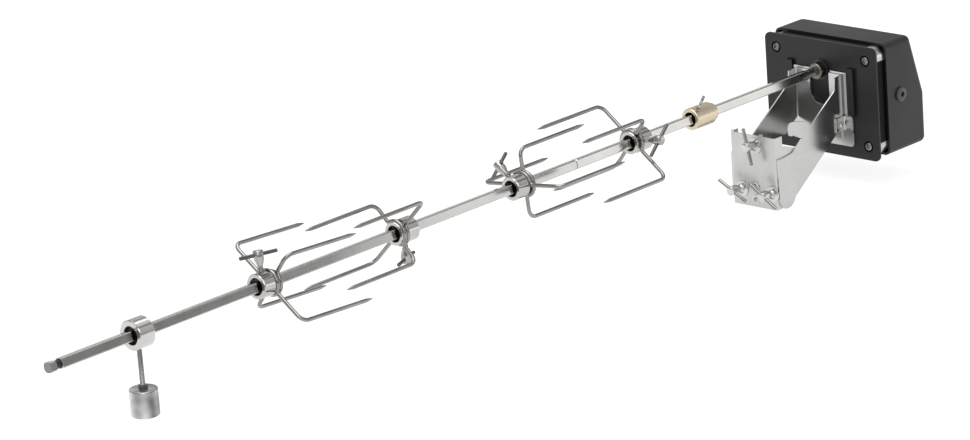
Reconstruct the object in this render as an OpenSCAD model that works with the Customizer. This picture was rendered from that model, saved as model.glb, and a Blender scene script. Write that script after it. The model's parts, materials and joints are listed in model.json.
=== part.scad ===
// Rotisserie kit for a grill: two-piece square spit, four forks, counterweight, bushing,
// folded motor bracket and gear motor. Millimetres.
// The origin is midway between the two threaded inserts, on their grill face.
// +X runs along the spit towards the motor, +Z is up.

/* [Spit] */
// Side of the square spit
spit_side = 9.525; // [8:0.1:10.5]
// Radius of the spit's rolled corners
spit_corner = 1.3; // [0.6:0.1:1.6]
// Turn of the spit about its own axis
spit_turn = -13; // [-45:1:45]
// Side of the square drive tip
tip_side = 7.9; // [6.5:0.1:8.2]
// Distance from the motor plate to the start of the full section
tip_start = 24; // [20:1:30]
// Depth of the drive tip past the front of the motor plate
tip_depth = 4; // [2:0.5:5]
// Length of the drive half's full section
drive_length = 358; // [340:1:400]
// Length of the free half's full section
free_length = 673; // [660:1:720]
// Diameter of the stud that joins the halves
stud_d = 6; // [5:0.1:6.5]
// Length of the stud
stud_length = 22; // [16:1:26]
// Diameter of the step that shows between the halves
step_d = 8.4; // [7.6:0.1:9]
// Width of that step
step_width = 0.8; // [0.4:0.1:1.5]
// Diameter of the neck at the free end
neck_d = 8; // [6:0.1:8.5]
// Length of the neck
neck_length = 6; // [4:0.5:9]
// Length of the square button at the free end
button_length = 7.5; // [5:0.5:10]
// Bevel where the bars are turned at their ends
bar_bevel = 1.2; // [0.6:0.1:1.6]

/* [Fork hubs] */
// Outside diameter of a fork hub
hub_d = 24; // [22:0.5:26]
// Length of a fork hub
hub_length = 23.5; // [21:0.5:28]
// Bore of a fork hub, round the square spit
hub_bore = 16; // [15:0.1:16.4]
// Distance from the hub's tine end to the middle of its two grooves
hub_lip = 5; // [4.8:0.1:6]
// Distance from the middle of the grooves back to the thumb screw
screw_back = 8.8; // [8:0.1:10]
// Bevel on the ends of hubs and collars
hub_bevel = 0.8; // [0.4:0.1:1.2]

/* [Fork tines] */
// Diameter of the tine wire
wire_d = 4; // [3.4:0.1:4.2]
// Distance from the spit axis to a long-reach tine
long_reach = 51; // [46:0.5:56]
// Distance from the spit axis to a short-reach tine
short_reach = 34.5; // [31:0.5:38]
// Length of a tine from its bend to its tip
tine_length = 93; // [84:1:98]
// Bend radius between leg and tine, at the wire's middle
tine_bend = 8; // [6:0.5:10]
// Bend radius where the wire leaves the hub, at the wire's middle
root_bend = 3.6; // [3:0.1:5]
// Length of the ground point
point_length = 10; // [6:0.5:14]
// Diameter of the blunt tip
point_d = 0.9; // [0.5:0.1:1.5]

/* [Fork places] */
// Fork 1, from the motor plate to its wires
fork_1_station = 797; // [780:1:810]
// Fork 1, angle of its thumb screw
fork_1_turn = 80.5; // [0:0.5:180]
// Fork 1, how far its tines drop on the loose hub
fork_1_drop = 3.5; // [-4:0.5:4]
// Fork 1, how far its tines swing sideways on the loose hub
fork_1_swing = 2; // [-4:0.5:4]
// Fork 1, angle of the cross bar
fork_1_bar = 18; // [-90:1:90]
// Fork 2, from the motor plate to its wires
fork_2_station = 630; // [615:1:640]
// Fork 2, angle of its thumb screw
fork_2_turn = 270; // [180:0.5:360]
// Fork 2, angle of the cross bar
fork_2_bar = 22; // [-90:1:90]
// Fork 3, from the motor plate to its wires
fork_3_station = 455; // [448:1:470]
// Fork 3, angle of its thumb screw
fork_3_turn = 38.5; // [0:0.5:90]
// Fork 3, angle of the cross bar
fork_3_bar = -84; // [-90:1:90]
// Fork 4, from the motor plate to its wires
fork_4_station = 296; // [285:1:305]
// Fork 4, angle of its thumb screw
fork_4_turn = 172.5; // [90:0.5:270]
// Fork 4, angle of the cross bar
fork_4_bar = -39; // [-90:1:90]

/* [Thumb screws] */
// Diameter of the screw shank
screw_d = 5.9; // [5:0.1:6.2]
// Diameter of the screw's barrel head
barrel_d = 9.8; // [9:0.1:12]
// Length of the barrel
barrel_length = 8; // [7:0.5:10]
// Length of the cone between shank and barrel
cone_length = 6; // [4:0.5:8]
// Diameter of the cross bar
bar_d = 3.7; // [3:0.1:4]
// Length of the cross bar
bar_length = 39; // [30:1:40]
// Shank showing between hub and cone on a fork
fork_stand = 6; // [3:0.5:9]

/* [Counterweight] */
// Distance from the motor plate to the arm
arm_station = 961.5; // [950:0.5:975]
// Outside diameter of the collar
collar_d = 28.5; // [25:0.5:30]
// Length of the collar
collar_length = 17.5; // [14:0.5:22]
// Bore of the collar, round the square spit
collar_bore = 17.4; // [16:0.1:18]
// Diameter of the threaded arm
arm_d = 5; // [4.4:0.1:5.6]
// Distance from the spit axis to the top of the weight
weight_drop = 51.5; // [44:0.5:56]
// Diameter of the weight
weight_d = 26.5; // [24:0.5:30]
// Height of the weight
weight_height = 25.5; // [20:0.5:30]
// Rounding of the weight's edges
weight_round = 1.6; // [0.8:0.1:3]
// Size of the jam nut across its flats
nut_flats = 8; // [7:0.5:10]
// Thickness of the jam nut
nut_height = 3.2; // [2.5:0.1:4]

/* [Bushing] */
// Distance from the motor plate to the bushing's outer face
bushing_station = 208; // [202:1:214]
// Diameter of the bushing's body
bushing_d = 22.5; // [21:0.5:25]
// Length of the body
bushing_length = 29; // [26:0.5:34]
// Diameter of the nose
nose_d = 18; // [17:0.5:20]
// Length of the nose
nose_length = 5; // [3:0.5:7]
// Bore of the bushing, round the square spit
bushing_bore = 14.4; // [14.1:0.1:15]
// Angle of the bushing's thumb screw
bushing_turn = 121; // [90:1:180]
// Distance from the outer face to the thumb screw
bushing_screw_in = 6; // [5:0.5:9]
// Height of the thumb screw's flat head
paddle_height = 15; // [11:0.5:18]
// Width of the flat head
paddle_width = 11; // [9:0.5:14]
// Thickness of the flat head
paddle_t = 3; // [2.5:0.1:4]
// Turn of the flat head from the spit's length
paddle_turn = 31; // [-90:1:90]

/* [Bracket] */
// Distance from the inserts' grill face to the front of the motor plate
reach = 114; // [107:1:125]
// Height of the spit axis above the middle of the two threaded inserts
spit_rise = 102.5; // [100:0.5:108]
// Thickness of the bracket's sheet steel
sheet = 1.5; // [1.2:0.1:1.8]
// Width across the outside of the two walls
bracket_width = 62; // [58:1:64]
// Sideways offset of the walls' middle from the spit
walls_y = 1.5; // [0:0.5:2]
// Outer bend radius of the folds
fold_radius = 3; // [2.2:0.1:4]
// Lowest point of the bracket, below the inserts' middle
flange_drop = 16; // [14:0.5:18]
// Top of the flange, above the inserts' middle
flange_top = 61; // [58:0.5:63]
// Radius of the walls' lower front corner
toe_radius = 13; // [8:1:16]
// Radius of the flange's lower corners
flange_corner = 3.5; // [2:0.5:8]
// How far the flange's returned sides reach back
return_depth = 38; // [34:1:42]
// Radius of the cable hook's round end
hook_radius = 7.4; // [5:0.1:8]
// Width of the U notch that the drive socket passes
notch_width = 25; // [23.4:0.2:27]
// Bottom of the U notch, below the spit axis
notch_drop = 36.5; // [32:0.5:40]
// Width of the back plate between the rails
back_width = 77; // [75:0.5:77.4]
// Width of the back plate's foot
foot_width = 82; // [80:0.5:84]
// Bottom of the back plate, below the spit axis
foot_drop = 77.5; // [74:0.5:80]

/* [Flange fittings] */
// Spacing of the two threaded inserts
insert_spacing = 14; // [13:0.5:15]
// Threaded bore of an insert
insert_bore = 5; // [4:0.1:5.4]
// Rim diameter of an insert
insert_rim = 9.5; // [9:0.1:11]
// Height of an insert's rim in front of the flange
insert_proud = 1; // [0.6:0.1:1.5]
// Sideways offset of the thumb screws' middle
screws_y = -1.5; // [-1.5:0.5:2]
// Height of the upper thumb screw above the inserts' middle
upper_screw_z = 52; // [48:0.5:52]
// Height of the lower thumb screws above the inserts' middle
lower_screw_z = 3.5; // [2:0.5:6]
// Spacing of the lower thumb screws
lower_screw_gap = 40.5; // [38:0.5:40.5]
// Shank showing on the upper thumb screw
upper_stand = 1.6; // [1.6:0.2:6]
// Shank showing on the lower thumb screws
lower_stand = 5; // [2:0.5:8]
// Angle of the upper cross bar from level
upper_bar_turn = 77; // [0:1:180]
// Angle of the near cross bar from level
near_bar_turn = 33; // [0:1:45]
// Angle of the far cross bar from level
far_bar_turn = 28; // [20:1:90]
// Diameter of a washer
washer_d = 17.5; // [15:0.5:18]
// Diameter of a washer's hole
washer_hole = 9.8; // [8:0.1:10]
// Thickness of a washer
washer_t = 1.2; // [1:0.1:1.4]
// Outside diameter of a weld nut
weld_nut_d = 7.6; // [7.2:0.1:7.8]
// Height of a weld nut
weld_nut_height = 5; // [4:0.5:7]

/* [Motor plate] */
// Width of the motor plate
plate_width = 146; // [142:1:150]
// Height of the motor plate
plate_height = 120.5; // [118:0.5:124]
// Top of the motor plate above the spit axis
plate_top = 31; // [30:0.5:33]
// Thickness of the motor plate
plate_t = 2; // [1.5:0.1:2.5]
// Corner radius of the motor plate
plate_corner = 7; // [4:0.5:10]
// Distance from the plate's edges to its corner screws
plate_screw_inset = 14.7; // [12:0.1:16]
// Overall width of a guide rail
rail_width = 8.6; // [7.6:0.1:10]
// How far a rail's lip reaches over the back plate
rail_lip = 3.4; // [2.5:0.1:4]
// Length of a guide rail
rail_length = 50; // [40:1:50.5]
// Running clearance between back plate and rails
rail_clearance = 0.35; // [0.25:0.05:0.5]

/* [Drive socket] */
// Diameter of the drive socket
socket_d = 17; // [15:0.5:18]
// Projection of the socket in front of the motor plate
socket_out = 10; // [8:0.5:12]
// Clearance on each side of the drive tip
tip_clearance = 0.15; // [0.1:0.05:0.3]
// Diameter of the bearing's flange
bearing_flange_d = 21; // [20:0.5:22]
// Thickness of the bearing's flange
bearing_flange_t = 1.5; // [1:0.1:2]

/* [Housing] */
// Gap between the motor plate and the housing's rim
housing_gap = 15; // [12:0.5:17]
// Depth of the housing along its top
housing_top_depth = 42; // [38:1:46]
// Depth of the housing along its bottom
housing_bottom_depth = 62; // [58:1:68]
// Height of the sloping part of the back
slope_height = 65; // [60:1:70]
// Wall thickness of the housing
housing_wall = 2.5; // [2:0.1:3]
// Rounding of the housing's edges
housing_round = 7; // [5:0.5:9]
// How much less high than the plate the housing is
housing_trim = 1.5; // [1:0.5:4]
// Top of the housing above the top of the plate
housing_rise = 0.9; // [0:0.1:2]
// Length of the rocker switch's opening
switch_length = 19; // [17:0.5:22]
// Width of the rocker switch's opening
switch_width = 13; // [11:0.5:15]
// Bore of the cable gland
gland_bore = 8; // [6:0.5:9]

/* [Gear train] */
// Teeth on the large gears
wheel_teeth = 48; // [48:1:50]
// Teeth on the pinions
pinion_teeth = 12; // [12:1:13]
// Width of the output gear's teeth
output_face = 8; // [6:0.5:8]
// Width of the idler gear's teeth
idler_face = 5; // [4:0.5:5]
// Diameter of the motor can
can_d = 50; // [44:1:52]
// Length of the motor can
can_length = 32; // [26:1:34]

/* [Hidden] */
$fn = 48;

// Small gap between pieces that are held together but drawn apart
seat = 0.05;
// Radial running clearance of a shaft in its hole
running = 0.05;
// Gap left between a screw's end and the face that it bears on
bite = 0.3;
// How far a cut reaches past the face that it opens
overcut = 1;
// How far one turned part reaches into the next, so that both are one piece
sink = 0.5;

fork_1_lean = [fork_1_drop, fork_1_swing];
joint_station = tip_start + drive_length;
bar_end_station = joint_station + free_length;
groove_depth = wire_d / 2;
wire_gap = 0.1;
wire_offset = (wire_d + wire_gap) / 2;
ring_radius = hub_d / 2 - groove_depth + wire_d / 2 + seat;
hub_back = hub_length - hub_lip;
leg_angle = 45;
wire_sides = 12;

corner_reach = (spit_side / 2 - spit_corner) * sqrt(2) + spit_corner;

flange_x = insert_proud;
wall_x = flange_x + sheet + 0.5;
wall_y = bracket_width / 2;
inner_y = wall_y - sheet;
near_wall_y = walls_y - wall_y;
far_wall_y = walls_y + wall_y;
throat = [flange_x + return_depth - 6, flange_top - 16.5];
back_x = reach - rail_clearance - sheet;
web_x = back_x - sheet;
rail_top = spit_rise + 1 + bite;
rail_cap = 4.7;
plate_back = reach + plate_t;
rim_x = plate_back + housing_gap;
housing_top = spit_rise + plate_top + housing_rise;
housing_height = plate_height - housing_trim;
housing_width = plate_width - 0.5;
housing_z = housing_top - housing_height / 2;
slope = atan((housing_bottom_depth - housing_top_depth) / slope_height);
slope_x = rim_x + (housing_top_depth + housing_bottom_depth) / 2;
slope_z = housing_top - slope_height / 2;
tray_t = 1.2;
tray_x = plate_back + tray_t;
tray_clearance = 0.25;
tray_width = housing_width - 2 * (housing_wall + tray_clearance);
tray_height = housing_height - 2 * (housing_wall + tray_clearance);
tray_corner = 10;
tray_depth = housing_gap + 13;
ear_width = 24;
ear_depth = 16;
side_screw_x = plate_back + tray_depth + ear_depth / 2;
side_screw_z = spit_rise - 26;
side_screw_d = 3.8;
side_head_d = 15;
side_head_h = 3;
plate_screw_y = plate_width / 2 - plate_screw_inset;
plate_screw_z = [spit_rise + plate_top - plate_screw_inset,
    spit_rise + plate_top - plate_height + plate_screw_inset];
plate_screw_d = 3.8;
plate_dimple = 0.8;
plate_head_d = 9;
plate_head_h = 2;
socket_back = plate_back + 12;
stub_d = 8;
bearing_body_d = socket_d + 2.6;
insert_body = insert_rim - 1.5;
angle_screw_d = 3;
bezel_wall = 1.2;
rocker_sink = -2;
rocker_tilt = 9;

gear_module = 1;
addendum = 0.75;
backlash = 0.14;
gear_distance = gear_module * (wheel_teeth + pinion_teeth) / 2;
output_gear_x = tray_x + 3;
idler_gear_x = output_gear_x + output_face + 1;
gear_plate_x = idler_gear_x + idler_face + 2;
gear_plate_t = 2;
idler_direction = -90;
rotor_direction = -30;
idler_y = gear_distance * cos(idler_direction);
idler_z = spit_rise + gear_distance * sin(idler_direction);
rotor_y = idler_y + gear_distance * cos(rotor_direction);
rotor_z = idler_z + gear_distance * sin(rotor_direction);
pin_d = 4;
post_d = 5;

gear_plate_top = plate_top - 13;
gear_plate_bottom = plate_top - plate_height + 13.5;
gear_plate_sides = [-35, plate_screw_y - 1.3];
post_places = [for (y = [gear_plate_sides[0] + post_d, gear_plate_sides[1] - post_d],
    z = [gear_plate_bottom + post_d, gear_plate_top - post_d]) [y, z]];
gland_x = rim_x + 42;
gland_y = -30;
gland_flange_d = 16;
gland_body_d = 12;
thumb_screws = [[screws_y, upper_screw_z], [screws_y - lower_screw_gap / 2, lower_screw_z],
    [screws_y + lower_screw_gap / 2, lower_screw_z]];

// Farthest reach of the square spit in the direction of a screw at the given angle
function spit_support(angle, side) =
    let (d = angle - spit_turn) (side / 2 - spit_corner) * (abs(cos(d)) + abs(sin(d))) + spit_corner;

// Puts a shape drawn along Z onto the spit's axis, its X pointing at the given angle from +Y.
// A shape with face -1 looks away from the motor.
module on_spit(station, turn = 0, face = 1)
    translate([reach - station, 0, spit_rise])
        rotate([0, 90, 0]) rotate([0, 0, turn + 90]) rotate([face < 0 ? 180 : 0, 0, 0])
            children();

// Puts a fork's shape on the spit. A loose fork leans about the middle of its thumb screw.
module on_fork(station, turn, face, lean) {
    pivot = [reach - station - face * screw_back, 0, spit_rise];
    translate(pivot) rotate([0, lean[0], lean[1]]) translate(-pivot)
        on_spit(station, turn, face) children();
}

module rounded_square(side, corner) {
    square([side, side - 2 * corner], center = true);
    square([side - 2 * corner, side], center = true);
    for (x = [-1, 1], y = [-1, 1])
        translate([x, y] * (side / 2 - corner)) circle(corner, $fn = 24);
}

module rounded_plate(width, height, corner) {
    square([width, height - 2 * corner], center = true);
    square([width - 2 * corner, height], center = true);
    for (x = [-1, 1], y = [-1, 1])
        translate([x * (width / 2 - corner), y * (height / 2 - corner)]) circle(corner);
}

// Square bar with its ends turned to a bevel
module turned_bar(side, length, bevel) {
    corner_r = (side / 2 - spit_corner) * sqrt(2) + spit_corner;
    intersection() {
        linear_extrude(length) rounded_square(side, spit_corner);
        rotate_extrude() polygon([[0, 0], [corner_r - bevel, 0], [corner_r + 0.2, bevel + 0.2],
            [corner_r + 0.2, length - bevel - 0.2], [corner_r - bevel, length], [0, length]]);
    }
}

module sleeve(outer_d, bore_d, length, bevel) {
    rotate_extrude() polygon([[bore_d / 2 + bevel / 2, 0], [outer_d / 2 - bevel, 0],
        [outer_d / 2, bevel], [outer_d / 2, length - bevel], [outer_d / 2 - bevel, length],
        [bore_d / 2 + bevel / 2, length], [bore_d / 2, length - bevel / 2], [bore_d / 2, bevel / 2]]);
}

module spit_drive_half() {
    tip_length = tip_start + tip_depth;
    color("gainsboro") on_spit(joint_station, spit_turn) difference() {
        union() {
            turned_bar(spit_side, drive_length, bar_bevel);
            translate([0, 0, drive_length - sink])
                turned_bar(tip_side, tip_length + sink, bar_bevel * 0.8);
        }
        translate([0, 0, -overcut]) cylinder(h = stud_length + 2 * overcut, d = stud_d + 2 * running);
    }
}

// Free half from its end button: neck, bar, the step at the joint and the stud
module spit_free_half() {
    bar_end = button_length + neck_length + free_length - step_width;
    color("gainsboro") on_spit(bar_end_station + neck_length + button_length, spit_turn) {
        turned_bar(spit_side, button_length, bar_bevel);
        translate([0, 0, button_length - sink]) cylinder(h = neck_length + 2 * sink, d = neck_d);
        translate([0, 0, button_length + neck_length])
            turned_bar(spit_side, free_length - step_width, bar_bevel);
        translate([0, 0, bar_end - sink]) cylinder(h = step_width + sink, d = step_d);
        translate([0, 0, bar_end]) cylinder(h = step_width + stud_length, d = stud_d);
    }
}

// Hub with two wire grooves and a cross hole for its thumb screw; its tines point along +Z
module fork_hub(station, turn, face, lean = [0, 0]) {
    groove_r = hub_d / 2 - groove_depth;
    color("silver") on_fork(station, turn, face, lean) difference() {
        rotate_extrude() polygon([
            [hub_bore / 2, -hub_back + hub_bevel / 2], [hub_bore / 2 + hub_bevel / 2, -hub_back],
            [hub_d / 2 - hub_bevel, -hub_back], [hub_d / 2, -hub_back + hub_bevel],
            [hub_d / 2, -wire_d - wire_gap], [groove_r, -wire_d - wire_gap],
            [groove_r, wire_d + wire_gap], [hub_d / 2 - hub_bevel / 2, wire_d + wire_gap],
            [hub_d / 2 - hub_bevel, hub_lip], [hub_bore / 2 + hub_bevel / 2, hub_lip],
            [hub_bore / 2, hub_lip - hub_bevel / 2]]);
        translate([0, 0, -screw_back]) rotate([0, 90, 0])
            cylinder(h = hub_d, d = screw_d + 2 * running);
    }
}

// A cross-section of the tine wire: its middle, the direction across the wire in the plane of
// the hub's ring, the direction at right angles to that, and the wire's radius there
function section(middle, across, along, r = wire_d / 2) = [middle, across, along, r];

// Sections in the hub's plane, where the wire heads in the direction given by an angle
function flat_section(middle, heading) =
    section([middle[0], middle[1], 0], [-sin(heading), cos(heading), 0], [0, 0, 1]);

// Half a wire from the middle of its half turn to its tip: round the hub, a tight bend
// outwards, a straight leg, a bend forwards and a pointed tine along +Z
function half_wire(reach_out) =
    let (lean = asin(root_bend / (ring_radius + root_bend)),
        root_x = (ring_radius + root_bend) * cos(lean), leg_end = reach_out - tine_bend)
    concat(
        [for (i = [0:8]) let (a = 90 - (90 - lean) * i / 8)
            flat_section(ring_radius * [cos(a), sin(a)], a - 90)],
        [for (i = [1:5]) let (a = 180 + lean + (90 - lean) * i / 5)
            flat_section([root_x, root_bend] + root_bend * [cos(a), sin(a)], a + 90)],
        [for (i = [0:6]) let (a = 90 * i / 6)
            section([leg_end + tine_bend * sin(a), 0, tine_bend * (1 - cos(a))],
                [0, 1, 0], [-sin(a), 0, cos(a)])],
        [section([reach_out, 0, tine_length - point_length], [0, 1, 0], [-1, 0, 0])],
        [section([reach_out, 0, tine_length], [0, 1, 0], [-1, 0, 0], point_d / 2)]);

// Corner points of a section, mirrored in X when side is -1
function corners(s, side) = [for (k = [0:wire_sides - 1]) let (a = 360 * (k + 0.5) / wire_sides,
    q = s[0] + s[3] * (cos(a) * s[1] + sin(a) * s[2])) [side * q[0], q[1], q[2]]];

// Bent wire with two pointed tines. Its legs lie at the angles 0 and 180 round the hub.
module tine_wire(reach_out) {
    half = half_wire(reach_out);
    last = len(half) - 1;
    rings = concat([for (i = [last:-1:1]) corners(half[i], -1)],
        [for (i = [0:last]) corners(half[i], 1)]);
    n = wire_sides;
    ends = [[for (k = [0:n - 1]) k], [for (k = [n - 1:-1:0]) 2 * last * n + k]];
    sides = [for (i = [0:2 * last - 1], k = [0:n - 1])
        [i * n + k, (i + 1) * n + k, (i + 1) * n + (k + 1) % n, i * n + (k + 1) % n]];
    polyhedron([for (ring = rings, q = ring) q], concat(ends, sides), convexity = 6);
}

// The long-reach and the short-reach wire of one fork, side by side in the hub's grooves
module fork_tines(station, turn, face, lean = [0, 0]) {
    color("lightgray") on_fork(station, turn, face, lean) {
        translate([0, 0, -wire_offset]) rotate([0, 0, -leg_angle]) tine_wire(long_reach);
        translate([0, 0, wire_offset]) rotate([0, 0, leg_angle]) tine_wire(short_reach);
    }
}

// Thumb screw drawn along Z from the face it stands on: shank, cone and barrel with a cross hole
module barrel_screw(inside, stand, bar_turn) {
    barrel = stand + cone_length;
    end = barrel + barrel_length;
    difference() {
        rotate_extrude() polygon([[0, -inside], [screw_d / 2 - 0.5, -inside],
            [screw_d / 2, 0.5 - inside], [screw_d / 2, stand], [barrel_d / 2, barrel],
            [barrel_d / 2, end - hub_bevel], [barrel_d / 2 - hub_bevel, end], [0, end]]);
        translate([0, 0, stand + cone_length + barrel_length / 2]) rotate([0, 0, bar_turn])
            rotate([0, 90, 0]) cylinder(h = 2 * barrel_d, d = bar_d + 2 * seat, center = true);
    }
}

module cross_bar(stand, bar_turn) {
    translate([0, 0, stand + cone_length + barrel_length / 2]) rotate([0, 0, bar_turn])
        rotate([0, 90, 0]) rotate_extrude() polygon([[0, -bar_length / 2],
            [bar_d / 2 - 0.4, -bar_length / 2], [bar_d / 2, 0.4 - bar_length / 2],
            [bar_d / 2, bar_length / 2 - 0.4], [bar_d / 2 - 0.4, bar_length / 2],
            [0, bar_length / 2]]);
}

module at_fork_screw(station, turn, face, lean)
    on_fork(station, turn, face, lean) translate([hub_d / 2, 0, -screw_back]) rotate([0, 90, 0])
        children();

module fork_screw(station, turn, face, bar_turn, lean = [0, 0])
    color("gray") at_fork_screw(station, turn, face, lean)
        barrel_screw(hub_d / 2 - spit_support(turn, spit_side) - bite, fork_stand, -bar_turn);

module fork_bar(station, turn, face, bar_turn, lean = [0, 0])
    color("dimgray") at_fork_screw(station, turn, face, lean) cross_bar(fork_stand, -bar_turn);

module weight_collar() {
    color("whitesmoke") on_spit(arm_station + collar_length / 2, -90) difference() {
        sleeve(collar_d, collar_bore, collar_length, hub_bevel);
        translate([0, 0, collar_length / 2]) rotate([0, 90, 0])
            cylinder(h = collar_d, d = arm_d + 2 * running);
    }
}

// Threaded arm, screwed back so that the collar turns freely, with the weight on its lower end
module weight_arm() {
    inner = corner_reach + running;
    color("silver") on_spit(arm_station, -90) translate([inner, 0, 0]) rotate([0, 90, 0])
        cylinder(h = weight_drop + weight_height - 2 - inner, d = arm_d);
}

module weight() {
    r = weight_d / 2;
    color("darkgray") translate([reach - arm_station, 0, spit_rise - weight_drop - weight_height])
        difference() {
            rotate_extrude() union() {
                translate([0, weight_round]) square([r, weight_height - 2 * weight_round]);
                square([r - weight_round, weight_height]);
                for (z = [weight_round, weight_height - weight_round])
                    translate([r - weight_round, z]) circle(weight_round, $fn = 24);
            }
            translate([0, 0, -overcut]) cylinder(h = weight_height + 2 * overcut,
                d = arm_d + 2 * running);
        }
}

module jam_nut() {
    color("gray") translate([reach - arm_station, 0, spit_rise - weight_drop]) difference() {
        intersection() {
            cylinder(h = nut_height, d = nut_flats / cos(30), $fn = 6);
            cylinder(h = nut_height, d1 = nut_flats + 2 * nut_height / tan(30), d2 = nut_flats);
        }
        translate([0, 0, -overcut]) cylinder(h = nut_height + 2 * overcut, d = arm_d + 2 * running);
    }
}

module bushing() {
    b = hub_bevel;
    nose = bushing_length + nose_length;
    color("burlywood") on_spit(bushing_station, bushing_turn) difference() {
        rotate_extrude() polygon([[bushing_bore / 2, b / 2], [bushing_bore / 2 + b / 2, 0],
            [bushing_d / 2 - b, 0], [bushing_d / 2, b], [bushing_d / 2, bushing_length - b],
            [bushing_d / 2 - b, bushing_length], [nose_d / 2, bushing_length],
            [nose_d / 2, nose - b / 2], [nose_d / 2 - b / 2, nose],
            [bushing_bore / 2, nose]]);
        translate([0, 0, bushing_screw_in]) rotate([0, 90, 0])
            cylinder(h = bushing_d, d = screw_d - 1 + 2 * running);
    }
}

// Flat-headed thumb screw; its head stands edge-on to the spit's length
module bushing_screw() {
    inside = bushing_d / 2 - spit_support(bushing_turn, spit_side) - bite;
    neck = 2.5;
    color("gray") on_spit(bushing_station, bushing_turn) translate([bushing_d / 2, 0, bushing_screw_in])
        rotate([0, 90, 0]) {
            translate([0, 0, -inside]) cylinder(h = inside + neck, d = screw_d - 1);
            rotate([0, 0, paddle_turn]) translate([0, paddle_t / 2, neck]) rotate([90, 0, 0])
                linear_extrude(paddle_t) {
                    translate([0, paddle_width / 2]) circle(d = paddle_width);
                    translate([0, paddle_height - paddle_width / 2 + 1])
                        circle(d = paddle_width - 2);
                    translate([1 - paddle_width / 2, paddle_width / 2])
                        square([paddle_width - 2, paddle_height - paddle_width + 1]);
                }
        }
}

// Side outline of a bracket wall, drawn in the plane of the spit: X to the motor, Z up.
// A hooked wall has the cable hook above its slope.
module wall_outline(hooked) {
    shoulder = [reach - 15.4, spit_rise - 15.5];
    crest = shoulder + 0.61 * (throat - shoulder);
    heel = [reach - 16.5, spit_rise - 62.5];
    toe = [wall_x + 1.5 * toe_radius, 5 - flange_drop];
    polygon([[back_x, spit_rise - 1], shoulder + [1.4, 13], shoulder, throat,
        throat + [-7, -4.5], throat + [-21, -6], [wall_x, throat[1] - 6],
        [wall_x, toe_radius - flange_drop], [wall_x + toe_radius, -flange_drop],
        toe, heel, [back_x, spit_rise - 52.5]]);
    translate([wall_x + toe_radius, toe_radius - flange_drop]) circle(toe_radius);
    if (hooked) {
        tip = crest + [-30, 3.8];
        translate(tip) circle(hook_radius);
        polygon([crest, crest + [-10.5, 7], tip + [2, hook_radius - 0.3],
            tip + [1.5, 0.3 - hook_radius], throat + [10, 6.4]]);
    }
}

// Folded sheet seen from above: a web at the origin's side and two legs that run along +X
module folded_u(length, half_width) {
    inner_r = fold_radius - sheet;
    difference() {
        union() {
            translate([fold_radius, -half_width]) square([length - fold_radius, 2 * half_width]);
            translate([0, fold_radius - half_width])
                square([fold_radius + 1, 2 * (half_width - fold_radius)]);
            for (side = [-1, 1])
                translate([fold_radius, side * (half_width - fold_radius)]) circle(fold_radius);
        }
        translate([fold_radius, sheet - half_width]) square([length, 2 * (half_width - sheet)]);
        translate([sheet, fold_radius - half_width])
            square([length, 2 * (half_width - fold_radius)]);
        for (side = [-1, 1])
            translate([fold_radius, side * (half_width - fold_radius)]) circle(inner_r);
    }
}

// The space that the U notch leaves, open at the top
module notch_space(x, length) {
    r = notch_width / 2;
    translate([x, 0, spit_rise - notch_drop + r]) {
        rotate([0, 90, 0]) cylinder(h = length, r = r);
        translate([0, -r, 0]) cube([length, notch_width, notch_drop + 2 * overcut]);
    }
}

// Channel: a web behind with the U notch, and two sloping walls. The near wall has a hook.
module bracket_channel() {
    web_half = wall_y - fold_radius;
    color("silver") difference() {
        intersection() {
            translate([back_x, walls_y, -flange_drop - overcut]) mirror([1, 0, 0])
                linear_extrude(spit_rise + flange_drop) folded_u(back_x - wall_x, wall_y);
            union() {
                rotate([90, 0, 0]) linear_extrude(overcut - near_wall_y) wall_outline(true);
                translate([0, far_wall_y + overcut, 0]) rotate([90, 0, 0])
                    linear_extrude(far_wall_y + overcut) wall_outline(false);
                translate([web_x, walls_y - web_half, spit_rise - 70])
                    cube([sheet, 2 * web_half, 20]);
            }
        }
        notch_space(web_x - overcut, sheet + 2 * overcut);
        at_angle_screw() cylinder(h = 4 * sheet, d = angle_screw_d + 2 * seat);
    }
}

// Back plate that slides in the motor's guide rails
module bracket_back_plate() {
    top = 1;
    foot_top = -46;
    notch_w = 3;
    color("gainsboro") difference() {
        translate([back_x, 0, spit_rise]) rotate([90, 0, 90]) linear_extrude(sheet) {
            translate([-back_width / 2, foot_top - overcut])
                square([back_width, top - foot_top + overcut]);
            translate([-foot_width / 2, 4 - foot_drop]) square([foot_width, foot_drop + foot_top - 4]);
            translate([4 - foot_width / 2, -foot_drop]) square([foot_width - 8, 8]);
            for (side = [-1, 1]) translate([side * (foot_width / 2 - 4), 4 - foot_drop]) circle(4);
        }
        notch_space(back_x - overcut, sheet + 2 * overcut);
        for (side = [-1, 1])
            translate([back_x - overcut, side * foot_width / 2, spit_rise - 61])
                rotate([0, 90, 0]) cylinder(h = sheet + 2 * overcut, d = notch_w);
    }
}

// Side outline of the flange's returned sides, which nest inside the channel's walls
module return_outline() {
    tab = flange_x + 12;
    end = flange_x + return_depth;
    polygon([[flange_x, flange_top], [tab, flange_top], [tab, flange_top - 10],
        throat + [0, -0.5], [end, throat[1] - 3], [end, 20.5 - flange_drop],
        [wall_x + toe_radius, 1 - flange_drop], [flange_x, 1 - flange_drop]]);
}

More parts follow.
